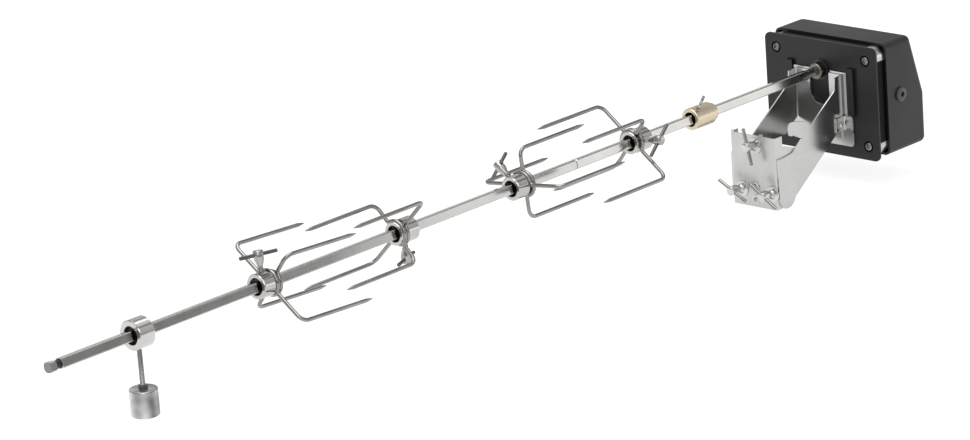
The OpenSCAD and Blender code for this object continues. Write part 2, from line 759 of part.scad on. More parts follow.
// Front flange with its returned sides and the holes for the fittings
module bracket_flange() {
    corner = flange_corner;
    color("silver") difference() {
        intersection() {
            translate([flange_x, walls_y, -flange_drop])
                linear_extrude(flange_top + flange_drop + 3) folded_u(return_depth + 2, inner_y);
            union() {
                translate([0, walls_y + inner_y, 0]) rotate([90, 0, 0])
                    linear_extrude(2 * inner_y) return_outline();
                for (y = [-9.5, walls_y + inner_y - 4])
                    translate([flange_x, y - 2, flange_top - 1]) cube([sheet, 4, 3]);
            }
            translate([flange_x, walls_y, -flange_drop]) rotate([90, 0, 90])
                linear_extrude(return_depth + 2) {
                translate([-inner_y, corner]) square([2 * inner_y, flange_top + flange_drop]);
                translate([corner - inner_y, 0]) square([2 * (inner_y - corner), corner + 1]);
                for (side = [-1, 1]) translate([side * (inner_y - corner), corner]) circle(corner);
            }
        }
        for (place = thumb_screws) translate([flange_x - overcut, place[0], place[1]])
            rotate([0, 90, 0]) cylinder(h = sheet + 2 * overcut, d = screw_d + 0.6);
        for (z = [-1, 1]) translate([flange_x - overcut, 0, z * insert_spacing / 2])
            rotate([0, 90, 0]) cylinder(h = sheet + 2 * overcut, d = insert_body + 2 * seat);
    }
}

module at_angle_screw()
    translate([reach - 8.4, near_wall_y + sheet + overcut, spit_rise - 53.2]) rotate([90, 0, 0])
        children();

// Folded corner that ties the near wall to the back plate's foot
module corner_angle() {
    r = 2.2;
    wall_leg = 15;
    plate_leg = 11.5;
    color("silver") difference() {
        translate([back_x, near_wall_y, spit_rise - 60]) linear_extrude(15) difference() {
            union() {
                translate([-wall_leg, -r]) square([wall_leg - r, r]);
                translate([-r, -plate_leg]) square([r, plate_leg - r]);
                translate([-r, -r]) circle(r);
            }
            translate([-wall_leg - 1, -plate_leg - 1])
                square([wall_leg + 1 - r, plate_leg + 1 - sheet]);
            translate([-wall_leg - 1, -plate_leg - 1])
                square([wall_leg + 1 - sheet, plate_leg + 1 - r]);
            translate([-r, -r]) circle(r - sheet);
        }
        at_angle_screw() cylinder(h = 6 * sheet, d = angle_screw_d + 2 * seat);
    }
}

// Pan-headed screw drawn along +Z from its tip, with its head at the far end
module pan_screw(d, head_d, head_h, length) {
    cylinder(h = length, d = d);
    translate([0, 0, length]) rotate_extrude() intersection() {
        square([head_d / 2, head_h]);
        translate([0, -head_d / 2]) circle(r = head_d / 2 + head_h);
    }
}

module angle_screw()
    color("gray") at_angle_screw() translate([0, 0, -2])
        pan_screw(angle_screw_d, 6.5, 2, 2 + overcut + 2 * sheet);

// Rimmed inserts with the threaded mounting holes
module threaded_inserts() {
    depth = 8;
    color("darkgray") for (z = [-1, 1]) translate([0, 0, z * insert_spacing / 2])
        rotate([0, 90, 0]) difference() {
            union() {
                cylinder(h = insert_proud, d = insert_rim);
                cylinder(h = insert_proud + depth, d = insert_body);
            }
            translate([0, 0, -overcut])
                cylinder(h = insert_proud + depth + 2 * overcut, d = insert_bore);
        }
}

module weld_nuts()
    color("gray") for (place = thumb_screws)
        translate([flange_x + sheet, place[0], place[1]]) rotate([0, 90, 0])
            sleeve(weld_nut_d, screw_d + 2 * running, weld_nut_height, 0.4);

// Loose washers that hang on the thumb screws' shanks
module washers() {
    drop = (washer_hole - screw_d) / 2 - running;
    color("silver") for (place = thumb_screws)
        translate([flange_x - washer_t, place[0], place[1] - drop]) rotate([0, 90, 0])
            sleeve(washer_d, washer_hole, washer_t, 0.2);
}

module at_grill_screw(number)
    translate([flange_x, thumb_screws[number][0], thumb_screws[number][1]])
        rotate([0, -90, 0]) children();

module grill_screw(number, stand, level)
    color("gray") at_grill_screw(number)
        barrel_screw(sheet + weld_nut_height + 5, stand, 90 - level);

module grill_bar(number, stand, level)
    color("dimgray") at_grill_screw(number) cross_bar(stand, 90 - level);

// Front plate, with a shallow dimple round each corner screw
module motor_plate() {
    color("#1c1c1e") difference() {
        translate([reach, 0, spit_rise + plate_top - plate_height / 2]) rotate([90, 0, 90])
            linear_extrude(plate_t) rounded_plate(plate_width, plate_height, plate_corner);
        translate([reach - overcut, 0, spit_rise]) rotate([0, 90, 0])
            cylinder(h = plate_t + 2 * overcut, d = bearing_body_d + 2 * seat);
        for (y = [-1, 1], z = plate_screw_z)
            translate([reach - overcut, y * plate_screw_y, z]) rotate([0, 90, 0]) {
                cylinder(h = plate_t + 2 * overcut, d = plate_screw_d + 2 * seat);
                cylinder(h = overcut + plate_dimple, d = plate_head_d + 3);
            }
    }
}

// Two rails whose lips hold the back plate; their closed tops hang on its upper edge
module guide_rails() {
    inner = back_width / 2 + rail_clearance;
    lip_x = back_x - rail_clearance - sheet;
    color("#202022") for (side = [0, 1]) mirror([0, side, 0]) {
        translate([lip_x, inner - rail_lip, rail_top + rail_cap - rail_length])
            cube([sheet, rail_width, rail_length]);
        translate([lip_x, inner, rail_top + rail_cap - rail_length])
            cube([reach - lip_x, rail_width - rail_lip, rail_length]);
        translate([lip_x, inner - rail_lip, rail_top]) cube([reach - lip_x, rail_width, rail_cap]);
    }
}

module plate_screws()
    color("#303032") for (y = [-1, 1], z = plate_screw_z)
        translate([tray_x + 6, y * plate_screw_y, z]) rotate([0, -90, 0])
            pan_screw(plate_screw_d, plate_head_d, plate_head_h, tray_x + 6 - reach - plate_dimple);

// Bright inner tray: a pressed pan behind the plate, with an ear for each side screw
module chassis_tray() {
    color("whitesmoke") difference() {
        union() {
            translate([plate_back, 0, housing_z]) rotate([90, 0, 90]) linear_extrude(tray_depth)
                rounded_plate(tray_width, tray_height, tray_corner);
            translate([plate_back, -tray_width / 2, side_screw_z - ear_width / 2])
                cube([tray_depth + ear_depth, tray_width, ear_width]);
        }
        translate([tray_x, 0, housing_z]) rotate([90, 0, 90]) linear_extrude(tray_depth + ear_depth)
            rounded_plate(tray_width - 2 * tray_t, tray_height - 2 * tray_t, tray_corner - tray_t);
        translate([plate_back - overcut, 0, spit_rise]) rotate([0, 90, 0])
            cylinder(h = tray_t + 2 * overcut, d = bearing_body_d + 2 * seat);
        for (y = [-1, 1], z = plate_screw_z)
            translate([plate_back - overcut, y * plate_screw_y, z]) rotate([0, 90, 0])
                cylinder(h = tray_t + 2 * overcut, d = plate_screw_d + 2 * seat);
        translate([side_screw_x, -tray_width, side_screw_z]) rotate([-90, 0, 0])
            cylinder(h = 2 * tray_width, d = side_screw_d + 2 * seat);
    }
}

// The housing's solid form, drawn in by the given inset: flat top, sloping upper back,
// upright lower back, all edges rounded, open end at the rim
module housing_form(inset) {
    r = housing_round;
    side_y = housing_width / 2 - r;
    bottom_x = rim_x + housing_bottom_depth;
    lean = tan(slope / 2);
    upper = [rim_x + housing_top_depth - r * (1 - sin(slope)) / cos(slope), housing_top - r];
    middle = [bottom_x - r, housing_top - slope_height - r * lean];
    lower = [bottom_x - r, housing_top - housing_height + r];
    hull() for (y = [-1, 1], c = [[rim_x - r, upper[1]], upper, middle, lower,
            [rim_x - r, lower[1]]])
        translate([c[0], y * side_y, c[1]]) sphere(r - inset, $fn = 28);
}

// Moulded housing, open at the rim, with holes for the side screws, the switch and the gland
module housing() {
    color("#151517") difference() {
        housing_form(0);
        housing_form(housing_wall);
        translate([rim_x - 100, -housing_width, housing_z - housing_height])
            cube([100, 2 * housing_width, 2 * housing_height]);
        translate([side_screw_x, -housing_width, side_screw_z]) rotate([-90, 0, 0])
            cylinder(h = 2 * housing_width, d = side_screw_d + 2 * seat);
        at_switch() cube([switch_length + 2 * bezel_wall + 2 * seat,
            switch_width + 2 * bezel_wall + 2 * seat, 4 * housing_wall], center = true);
        translate([gland_x, gland_y, housing_top - housing_height - overcut])
            cylinder(h = housing_wall + 2 * overcut, d = gland_body_d + 2 * seat);
    }
}

module housing_screws()
    color("#303032") for (side = [0, 1]) mirror([0, side, 0])
        translate([side_screw_x, -housing_width / 2 + 8, side_screw_z]) rotate([90, 0, 0])
            pan_screw(side_screw_d, side_head_d, side_head_h, 8 + seat);

// Drive socket with the square hole for the spit's tip and a stub that runs in the gear plate
module drive_socket() {
    hole = tip_side + 2 * tip_clearance;
    color("silver") difference() {
        translate([reach - socket_out, 0, spit_rise]) rotate([0, 90, 0]) {
            sleeve(socket_d, 2, socket_back - reach + socket_out, 0.8);
            cylinder(h = gear_plate_x + gear_plate_t - reach + socket_out, d = stub_d);
        }
        translate([reach - socket_out - overcut, 0, spit_rise]) rotate([0, 90, 0])
            rotate([0, 0, spit_turn + 90]) translate([0, 0, (socket_out + tip_depth + 2) / 2])
                cube([hole, hole, socket_out + tip_depth + 2 + 2 * overcut], center = true);
    }
}

// Flanged bearing sleeve in the motor plate
module bearing() {
    bore = socket_d + 2 * running;
    color("#8c7a4a") translate([reach - bearing_flange_t, 0, spit_rise]) rotate([0, 90, 0])
        difference() {
            union() {
                cylinder(h = bearing_flange_t, d = bearing_flange_d);
                cylinder(h = bearing_flange_t + plate_t + tray_t + 1.8, d = bearing_body_d);
            }
            translate([0, 0, -overcut])
                cylinder(h = bearing_flange_t + plate_t + tray_t + 4, d = bore);
        }
}

// Half the angle that a tooth spans at radius r, for a gear with the given number of teeth
function half_tooth(teeth, r) =
    let (pitch_r = gear_module * teeth / 2, base_r = pitch_r * cos(20),
        a = acos(min(1, base_r / max(r, base_r))))
    90 / teeth - (backlash / 4 / pitch_r) * 180 / PI
        + (tan(20) - tan(a)) * 180 / PI - 20 + a;

// Involute gear outline with a tooth at angle 0
module gear_outline(teeth) {
    pitch_r = gear_module * teeth / 2;
    root_r = pitch_r - gear_module;
    tip_r = pitch_r + addendum * gear_module;
    start_r = max(root_r, pitch_r * cos(20));
    steps = 4;
    flank = [for (i = [0:steps]) start_r + (tip_r - start_r) * i / steps];
    tooth = concat([[root_r, half_tooth(teeth, start_r)]],
        [for (r = flank) [r, half_tooth(teeth, r)]]);
    polygon([for (k = [0:teeth - 1], side = [-1, 1], i = [0:steps + 1])
        let (p = tooth[side < 0 ? i : steps + 1 - i], a = 360 * k / teeth + side * p[1])
            p[0] * [cos(a), sin(a)]]);
}

// Gear about an axis along X, with a tooth in the given direction from +Y
module spur_gear(x, y, z, teeth, face, direction)
    translate([x, y, z]) rotate([90, 0, 90]) rotate([0, 0, direction])
        linear_extrude(face) gear_outline(teeth);

module output_gear() {
    color("ivory") difference() {
        spur_gear(output_gear_x, 0, spit_rise, wheel_teeth, output_face, idler_direction);
        translate([output_gear_x - overcut, 0, spit_rise]) rotate([0, 90, 0])
            cylinder(h = output_face + 2 * overcut, d = socket_d + 2 * seat);
    }
}

module idler_gear() {
    color("ivory") difference() {
        union() {
            spur_gear(output_gear_x, idler_y, idler_z, pinion_teeth, output_face,
                idler_direction + 180 + 180 / pinion_teeth);
            translate([output_gear_x + output_face - 0.5, idler_y, idler_z]) rotate([0, 90, 0])
                cylinder(h = idler_gear_x - output_gear_x - output_face + 1, r = 4.6);
            spur_gear(idler_gear_x, idler_y, idler_z, wheel_teeth, idler_face, rotor_direction);
        }
        translate([output_gear_x - overcut, idler_y, idler_z]) rotate([0, 90, 0])
            cylinder(h = gear_plate_x - output_gear_x + overcut, d = pin_d + 2 * running);
    }
}

module idler_pin()
    color("silver") translate([tray_x, idler_y, idler_z]) rotate([0, 90, 0])
        cylinder(h = gear_plate_x + gear_plate_t - tray_x, d = pin_d);

// Rotor shaft with its pinion
module rotor() {
    color("silver") {
        spur_gear(idler_gear_x, rotor_y, rotor_z, pinion_teeth, idler_face,
            rotor_direction + 180 + 180 / pinion_teeth);
        translate([idler_gear_x - 2, rotor_y, rotor_z]) rotate([0, 90, 0])
            cylinder(h = gear_plate_x + gear_plate_t + can_length + 6 - idler_gear_x, d = pin_d);
    }
}

module gear_plate() {
    color("gray") difference() {
        translate([gear_plate_x, (gear_plate_sides[0] + gear_plate_sides[1]) / 2,
            spit_rise + (gear_plate_bottom + gear_plate_top) / 2]) rotate([90, 0, 90])
                linear_extrude(gear_plate_t) rounded_plate(gear_plate_sides[1] - gear_plate_sides[0],
                    gear_plate_top - gear_plate_bottom, post_d);
        translate([gear_plate_x - overcut, 0, 0]) {
            translate([0, 0, spit_rise]) rotate([0, 90, 0])
                cylinder(h = gear_plate_t + 2 * overcut, d = stub_d + 2 * running);
            for (place = [[idler_y, idler_z], [rotor_y, rotor_z]])
                translate([0, place[0], place[1]]) rotate([0, 90, 0])
                    cylinder(h = gear_plate_t + 2 * overcut, d = pin_d + 2 * running);
        }
    }
}

module gear_posts()
    color("silver") for (place = post_places)
        translate([tray_x, place[0], spit_rise + place[1]]) rotate([0, 90, 0])
            cylinder(h = gear_plate_x - tray_x, d = post_d);

module motor_can() {
    x = gear_plate_x + gear_plate_t;
    boss = 3;
    color("darkgray") translate([x, rotor_y, rotor_z]) rotate([0, 90, 0])
        rotate_extrude() polygon([[pin_d / 2 + running, 0], [can_d / 2, 0],
            [can_d / 2, can_length - 2], [can_d / 2 - 2, can_length], [8, can_length],
            [8, can_length + boss], [pin_d / 2 + running, can_length + boss]]);
}

// Places a shape on the middle of the housing's slope, Z outwards and X down the slope
module at_switch()
    translate([slope_x, 0, slope_z]) rotate([0, 90 - slope, 0]) children();

module switch_bezel() {
    lip = 1.6;
    depth = 13;
    color("#101011") at_switch() difference() {
        union() {
            translate([0, 0, lip / 2]) cube([switch_length + 6, switch_width + 6, lip], center = true);
            translate([0, 0, -depth / 2]) cube([switch_length + 2 * bezel_wall,
                switch_width + 2 * bezel_wall, depth], center = true);
        }
        translate([0, 0, 1.5 - depth / 2 + overcut])
            cube([switch_length, switch_width, depth + 2 * overcut], center = true);
        translate([0, 0, rocker_sink]) rotate([90, 0, 0])
            cylinder(h = 2 * switch_width, d = 2 + 2 * running, center = true);
    }
}

// Rocker that turns about two small pins in the bezel, tilted to its off side
module switch_rocker() {
    r = switch_length / 2 - 0.4;
    width = switch_width - 0.6;
    color("#c02020") at_switch() translate([0, 0, rocker_sink]) rotate([0, -rocker_tilt, 0])
        rotate([90, 0, 0]) {
            linear_extrude(width, center = true) intersection() {
                circle(r);
                polygon([[-r, 6.4], [0, 4.4], [r, 6.4], [r, -4], [-r, -4]]);
            }
            cylinder(h = width + 2, d = 2, center = true);
        }
}

module cable_gland() {
    bottom = housing_top - housing_height;
    height = 9;
    color("#101011") translate([gland_x, gland_y, bottom]) difference() {
        union() {
            translate([0, 0, -height])
                cylinder(h = height, d1 = gland_flange_d - 4, d2 = gland_flange_d);
            cylinder(h = housing_wall + 6, d = gland_body_d);
            translate([0, 0, housing_wall + seat]) cylinder(h = 4, d = 17, $fn = 6);
        }
        translate([0, 0, -height - overcut]) cylinder(h = height + 12, d = gland_bore);
    }
}

spit_drive_half();
spit_free_half();
fork_hub(fork_1_station, fork_1_turn, 1, fork_1_lean);  // fork_1_hub
fork_tines(fork_1_station, fork_1_turn, 1, fork_1_lean);  // fork_1_tines
fork_screw(fork_1_station, fork_1_turn, 1, fork_1_bar, fork_1_lean);  // fork_1_screw
fork_bar(fork_1_station, fork_1_turn, 1, fork_1_bar, fork_1_lean);
fork_hub(fork_2_station, fork_2_turn, -1);  // fork_2_hub
fork_tines(fork_2_station, fork_2_turn, -1);  // fork_2_tines
fork_screw(fork_2_station, fork_2_turn, -1, fork_2_bar);  // fork_2_screw
fork_bar(fork_2_station, fork_2_turn, -1, fork_2_bar);
fork_hub(fork_3_station, fork_3_turn, 1);  // fork_3_hub
fork_tines(fork_3_station, fork_3_turn, 1);  // fork_3_tines
fork_screw(fork_3_station, fork_3_turn, 1, fork_3_bar);  // fork_3_screw
fork_bar(fork_3_station, fork_3_turn, 1, fork_3_bar);
fork_hub(fork_4_station, fork_4_turn, -1);  // fork_4_hub
fork_tines(fork_4_station, fork_4_turn, -1);  // fork_4_tines
fork_screw(fork_4_station, fork_4_turn, -1, fork_4_bar);  // fork_4_screw
fork_bar(fork_4_station, fork_4_turn, -1, fork_4_bar);
weight_collar();
weight_arm();
weight();
jam_nut();
bushing();
bushing_screw();
bracket_channel();
bracket_back_plate();
bracket_flange();
corner_angle();
angle_screw();
threaded_inserts();
weld_nuts();
washers();
grill_screw(0, upper_stand, upper_bar_turn);  // upper_screw
grill_bar(0, upper_stand, upper_bar_turn);  // upper_bar
grill_screw(1, lower_stand, near_bar_turn);  // near_screw
grill_bar(1, lower_stand, near_bar_turn);  // near_bar
grill_screw(2, lower_stand, far_bar_turn);  // far_screw
grill_bar(2, lower_stand, far_bar_turn);  // far_bar
motor_plate();
guide_rails();
plate_screws();
chassis_tray();
housing();
housing_screws();
drive_socket();
bearing();
output_gear();
idler_gear();
idler_pin();
rotor();
gear_plate();
gear_posts();
motor_can();
switch_bezel();
switch_rocker();
cable_gland();
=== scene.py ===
"""Looks of the rotisserie kit: finishes, fine shapes, soft light and the camera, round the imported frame."""

import json
import logging
import math
from dataclasses import dataclass, field
from enum import Enum
from typing import Any, Callable, Optional, Sequence, Union

import bmesh
import bpy
from mathutils import Matrix, Vector

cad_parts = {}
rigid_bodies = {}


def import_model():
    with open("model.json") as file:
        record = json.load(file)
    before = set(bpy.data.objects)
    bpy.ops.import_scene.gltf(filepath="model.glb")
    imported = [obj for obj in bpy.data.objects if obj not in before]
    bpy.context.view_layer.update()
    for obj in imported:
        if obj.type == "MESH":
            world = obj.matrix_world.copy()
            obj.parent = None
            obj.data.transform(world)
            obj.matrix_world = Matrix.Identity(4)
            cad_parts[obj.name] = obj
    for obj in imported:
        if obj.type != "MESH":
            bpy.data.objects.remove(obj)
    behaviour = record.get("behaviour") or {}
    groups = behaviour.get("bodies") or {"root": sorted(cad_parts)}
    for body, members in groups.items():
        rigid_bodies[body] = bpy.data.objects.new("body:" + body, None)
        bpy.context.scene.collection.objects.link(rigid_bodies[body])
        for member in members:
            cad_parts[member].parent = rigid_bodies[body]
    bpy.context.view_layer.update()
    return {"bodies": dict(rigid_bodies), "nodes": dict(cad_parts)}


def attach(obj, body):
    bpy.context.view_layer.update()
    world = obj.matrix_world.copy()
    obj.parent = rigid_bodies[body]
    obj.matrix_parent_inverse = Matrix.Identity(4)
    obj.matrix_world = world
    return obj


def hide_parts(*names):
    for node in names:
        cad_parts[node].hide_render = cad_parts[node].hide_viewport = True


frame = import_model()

log = logging.getLogger("rotisserie")

MM = 0.001
# The spit's axis in millimetres, and how far the motor plate stands from the origin.
SPIT_RISE = 102.5
REACH = 114.0
# Turn of the square spit about its own axis, in degrees.
SPIT_TURN = -13.0
# Where the free half ends.
FREE_END = REACH - 1068.5
HUB_D = 24.0
SCREW_D = 5.9

Point = tuple[float, float, float]


def linear(hex_colour: str) -> tuple[float, float, float, float]:
    """Turns an sRGB hex colour such as "c8c8c8" into linear red, green, blue and alpha."""
    parts = [int(hex_colour[i:i + 2], 16) / 255 for i in (0, 2, 4)]
    red, green, blue = (c / 12.92 if c <= 0.04045 else ((c + 0.055) / 1.055) ** 2.4 for c in parts)
    return red, green, blue, 1.0


def add_node(tree: bpy.types.NodeTree, kind: str, inputs: Optional[dict[Any, Any]] = None,
             **settings: Any) -> bpy.types.Node:
    """Adds a node with its settings and links.

    Args:
        tree: The material's, world's or Geometry Nodes tree.
        kind: Blender's name of the node type.
        inputs: A value or an output socket for each input, by name or number.
        **settings: The node's own settings.

    Returns:
        The new node.
    """
    node = tree.nodes.new(kind)
    for name, value in settings.items():
        setattr(node, name, value)
    for place, value in (inputs or {}).items():
        if isinstance(value, bpy.types.NodeSocket):
            tree.links.new(value, node.inputs[place])
        else:
            node.inputs[place].default_value = value
    return node


class Lay(Enum):
    """Which way the marks of a metal's making run."""

    ALONG_X = "drawn or brushed along the spit"
    ALONG_Z = "brushed upright"
    ROUND_X = "turned about an axis along X"
    ROUND_Z = "turned about an upright axis"
    GRAIN = "even grain with no direction"


@dataclass(frozen=True)
class Bore:
    """Painted shade on the inside of a bore along X, out to a radius, and from a place along X on.

    Up to that place everything is darkened by one share.
    """

    radius_mm: float
    from_mm: float = -2000.0
    end_share: float = 0.0

    def mask(self, tree: bpy.types.NodeTree, centred: bpy.types.NodeSocket
             ) -> bpy.types.NodeSocket:
        """Makes a mask that is 1 inside the bore, from coordinates measured from its axis."""
        flat = add_node(tree, "ShaderNodeVectorMath", {0: centred, 1: (0.0, 1.0, 1.0)},
                        operation="MULTIPLY")
        radius = add_node(tree, "ShaderNodeVectorMath", {0: flat.outputs["Vector"]},
                          operation="LENGTH")
        edge = add_node(tree, "ShaderNodeMapRange", {
            "Value": radius.outputs["Value"], "From Min": self.radius_mm * MM,
            "From Max": (self.radius_mm + 0.2) * MM, "To Min": 1.0, "To Max": 0.0})
        split = add_node(tree, "ShaderNodeSeparateXYZ", {"Vector": centred})
        beyond = add_node(tree, "ShaderNodeMath", {
            0: split.outputs["X"], 1: self.from_mm * MM}, operation="GREATER_THAN")
        both = add_node(tree, "ShaderNodeMapRange", {
            "Value": beyond.outputs[0], "To Min": self.end_share, "To Max": edge.outputs["Result"]})
        return both.outputs["Result"]


@dataclass(frozen=True)
class AllButCorners:
    """Painted shade, nearly black, on the sides of a pan that faces X, all but near its four corners."""

    half_width_mm: float
    half_height_mm: float

    def mask(self, tree: bpy.types.NodeTree, centred: bpy.types.NodeSocket
             ) -> bpy.types.NodeSocket:
        """Makes a mask that is 0 near the corners, from coordinates measured from the middle."""
        split = add_node(tree, "ShaderNodeSeparateXYZ", {"Vector": centred})
        inside = []
        for axis, half in (("Y", self.half_width_mm), ("Z", self.half_height_mm)):
            size = add_node(tree, "ShaderNodeMath", {0: split.outputs[axis]}, operation="ABSOLUTE")
            inside.append(add_node(tree, "ShaderNodeMapRange", {
                "Value": size.outputs[0], "From Min": half * MM, "From Max": (half + 1.5) * MM,
                "To Min": 1.0, "To Max": 0.0}))
        either = add_node(tree, "ShaderNodeMath", {
            0: inside[0].outputs["Result"], 1: inside[1].outputs["Result"]}, operation="MAXIMUM")
        return either.outputs[0]


@dataclass(frozen=True)
class Metal:
    """A bare or plated metal with the marks of how it was made.

    The marks are a noise that is fine across them and long along them, or rings round the axis that
    the piece was turned about. They vary the tone and the roughness and lift the surface a little.
    """

    name: str
    tone: str
    shade: str
    roughness: float
    spread: float
    lay: Lay
    pitch_mm: float
    rise_mm: float
    length_mm: float = 60.0
    anisotropy: float = 0.0
    axis_mm: Point = (0.0, 0.0, SPIT_RISE)
    # Painted shade: where the mask is 1 the colour turns to dark_tone and the face gets rougher.
    dark: Optional[Union[Bore, AllButCorners]] = None
    dark_tone: str = "5c5a57"
    detail: float = 3.0

    def material(self) -> bpy.types.Material:
        """Builds the material, or returns the one that was built before under its name."""
        if self.name in bpy.data.materials:
            return bpy.data.materials[self.name]
        material = bpy.data.materials.new(self.name)
        material.use_nodes = True
        tree = material.node_tree
        tree.nodes.clear()
        place = add_node(tree, "ShaderNodeTexCoord")
        centred = add_node(tree, "ShaderNodeMapping", {
            "Vector": place.outputs["Object"],
            "Location": tuple(-c * MM for c in self.axis_mm)})
        vector, along = self._marks(tree, centred.outputs["Vector"])
        marks = add_node(tree, "ShaderNodeTexNoise", {
            "Vector": vector, "Scale": 1.0, "Detail": self.detail, "Roughness": 0.6})
        # Handling and polishing leave soft clouds about 25 mm across.
        clouds = add_node(tree, "ShaderNodeTexNoise", {
            "Vector": centred.outputs["Vector"], "Scale": 40.0, "Detail": 2.0})
        mixed = add_node(tree, "ShaderNodeMath", {
            0: marks.outputs["Fac"], 1: clouds.outputs["Fac"]}, operation="ADD")
        tone = add_node(tree, "ShaderNodeMapRange", {
            "Value": mixed.outputs[0], "From Min": 0.75, "From Max": 1.25})
        colour = add_node(tree, "ShaderNodeMix", {
            0: tone.outputs["Result"], 6: linear(self.shade), 7: linear(self.tone)},
            data_type="RGBA")
        rough = add_node(tree, "ShaderNodeMapRange", {
            "Value": mixed.outputs[0], "From Min": 0.75, "From Max": 1.25,
            "To Min": max(0.02, self.roughness - self.spread), "To Max": self.roughness + self.spread})
        bump = add_node(tree, "ShaderNodeBump", {
            "Height": marks.outputs["Fac"], "Distance": self.rise_mm * MM, "Strength": 1.0})
        inputs = {
            "Base Color": colour.outputs[2], "Roughness": rough.outputs["Result"],
            "Normal": bump.outputs["Normal"], "Metallic": 1.0}
        # Painted shade from the mask: a darker colour and a rougher face.
        if self.dark:
            mask = self.dark.mask(tree, centred.outputs["Vector"])
            shaded = add_node(tree, "ShaderNodeMix", {
                0: mask, 6: colour.outputs[2], 7: linear(self.dark_tone)}, data_type="RGBA")
            dull = add_node(tree, "ShaderNodeMix", {
                0: mask, 2: rough.outputs["Result"], 3: 0.45}, data_type="FLOAT")
            inputs["Base Color"], inputs["Roughness"] = shaded.outputs[2], dull.outputs[0]
        if self.anisotropy and along is not None:
            inputs["Anisotropic"] = self.anisotropy
            inputs["Tangent"] = along
        shader = add_node(tree, "ShaderNodeBsdfPrincipled", inputs)
        add_node(tree, "ShaderNodeOutputMaterial", {"Surface": shader.outputs["BSDF"]})
        return material

    def _marks(self, tree: bpy.types.NodeTree, centred: bpy.types.NodeSocket
               ) -> tuple[bpy.types.NodeSocket, Optional[bpy.types.NodeSocket]]:
        """Makes the coordinates of the marks.

        Args:
            tree: The material's tree.
            centred: Object coordinates, from the axis.

        Returns:
            The coordinates for the noise, one unit to a mark, and the direction along the marks.
        """
        fine, long = 1 / (self.pitch_mm * MM), 1 / (self.length_mm * MM)
        if self.lay in (Lay.ALONG_X, Lay.ALONG_Z, Lay.GRAIN):
            scale = {Lay.ALONG_X: (long, fine, fine), Lay.ALONG_Z: (fine, fine, long),
                     Lay.GRAIN: (fine, fine, fine)}[self.lay]
            stretched = add_node(tree, "ShaderNodeMapping", {"Vector": centred, "Scale": scale})
            if self.lay is Lay.GRAIN:
                return stretched.outputs["Vector"], None
            way = (1.0, 0.0, 0.0) if self.lay is Lay.ALONG_X else (0.0, 0.0, 1.0)
            along = add_node(tree, "ShaderNodeVectorTransform", {"Vector": way},
                             vector_type="VECTOR", convert_from="OBJECT", convert_to="WORLD")
            return stretched.outputs["Vector"], along.outputs["Vector"]
        axis = (1.0, 0.0, 0.0) if self.lay is Lay.ROUND_X else (0.0, 0.0, 1.0)
        station = add_node(tree, "ShaderNodeVectorMath", {0: centred, 1: axis},
                           operation="DOT_PRODUCT")
        flat = add_node(tree, "ShaderNodeVectorMath", {
            0: centred, 1: (1 - axis[0], 1.0, 1 - axis[2])}, operation="MULTIPLY")
        radius = add_node(tree, "ShaderNodeVectorMath", {0: flat.outputs["Vector"]},
                          operation="LENGTH")
        rings = add_node(tree, "ShaderNodeCombineXYZ", {
            "X": station.outputs["Value"], "Y": radius.outputs["Value"]})
        scaled = add_node(tree, "ShaderNodeVectorMath", {
            0: rings.outputs["Vector"], "Scale": fine}, operation="SCALE")
        across = add_node(tree, "ShaderNodeVectorMath", {0: flat.outputs["Vector"], 1: axis},
                          operation="CROSS_PRODUCT")
        along = add_node(tree, "ShaderNodeVectorTransform", {"Vector": across.outputs["Vector"]},
                         vector_type="VECTOR", convert_from="OBJECT", convert_to="WORLD")
        return scaled.outputs["Vector"], along.outputs["Vector"]


@dataclass(frozen=True)
class Coating:
    """A paint, powder or moulded plastic: an even colour with a fine grain and soft clouds."""

    name: str
    tone: str
    shade: str
    roughness: float
    spread: float
    grain_mm: float
    rise_mm: float
    specular: float = 0.5

    def material(self) -> bpy.types.Material:
        """Builds the material, or returns the one that was built before under its name."""
        if self.name in bpy.data.materials:
            return bpy.data.materials[self.name]
        material = bpy.data.materials.new(self.name)
        material.use_nodes = True
        tree = material.node_tree
        tree.nodes.clear()
        place = add_node(tree, "ShaderNodeTexCoord")
        grain = add_node(tree, "ShaderNodeTexNoise", {
            "Vector": place.outputs["Object"], "Scale": 1 / (self.grain_mm * MM), "Detail": 3.0})
        # Flow of the paint or the melt leaves clouds about 30 mm across.
        clouds = add_node(tree, "ShaderNodeTexNoise", {
            "Vector": place.outputs["Object"], "Scale": 33.0, "Detail": 2.0})
        mixed = add_node(tree, "ShaderNodeMath", {
            0: grain.outputs["Fac"], 1: clouds.outputs["Fac"]}, operation="ADD")
        tone = add_node(tree, "ShaderNodeMapRange", {
            "Value": mixed.outputs[0], "From Min": 0.75, "From Max": 1.25})
        colour = add_node(tree, "ShaderNodeMix", {
            0: tone.outputs["Result"], 6: linear(self.shade), 7: linear(self.tone)},
            data_type="RGBA")
        rough = add_node(tree, "ShaderNodeMapRange", {
            "Value": mixed.outputs[0], "From Min": 0.75, "From Max": 1.25,
            "To Min": self.roughness - self.spread, "To Max": self.roughness + self.spread})
        bump = add_node(tree, "ShaderNodeBump", {
            "Height": grain.outputs["Fac"], "Distance": self.rise_mm * MM, "Strength": 1.0})
        shader = add_node(tree, "ShaderNodeBsdfPrincipled", {
            "Base Color": colour.outputs[2], "Roughness": rough.outputs["Result"],
            "Normal": bump.outputs["Normal"], "Specular IOR Level": self.specular})
        add_node(tree, "ShaderNodeOutputMaterial", {"Surface": shader.outputs["BSDF"]})
        return material
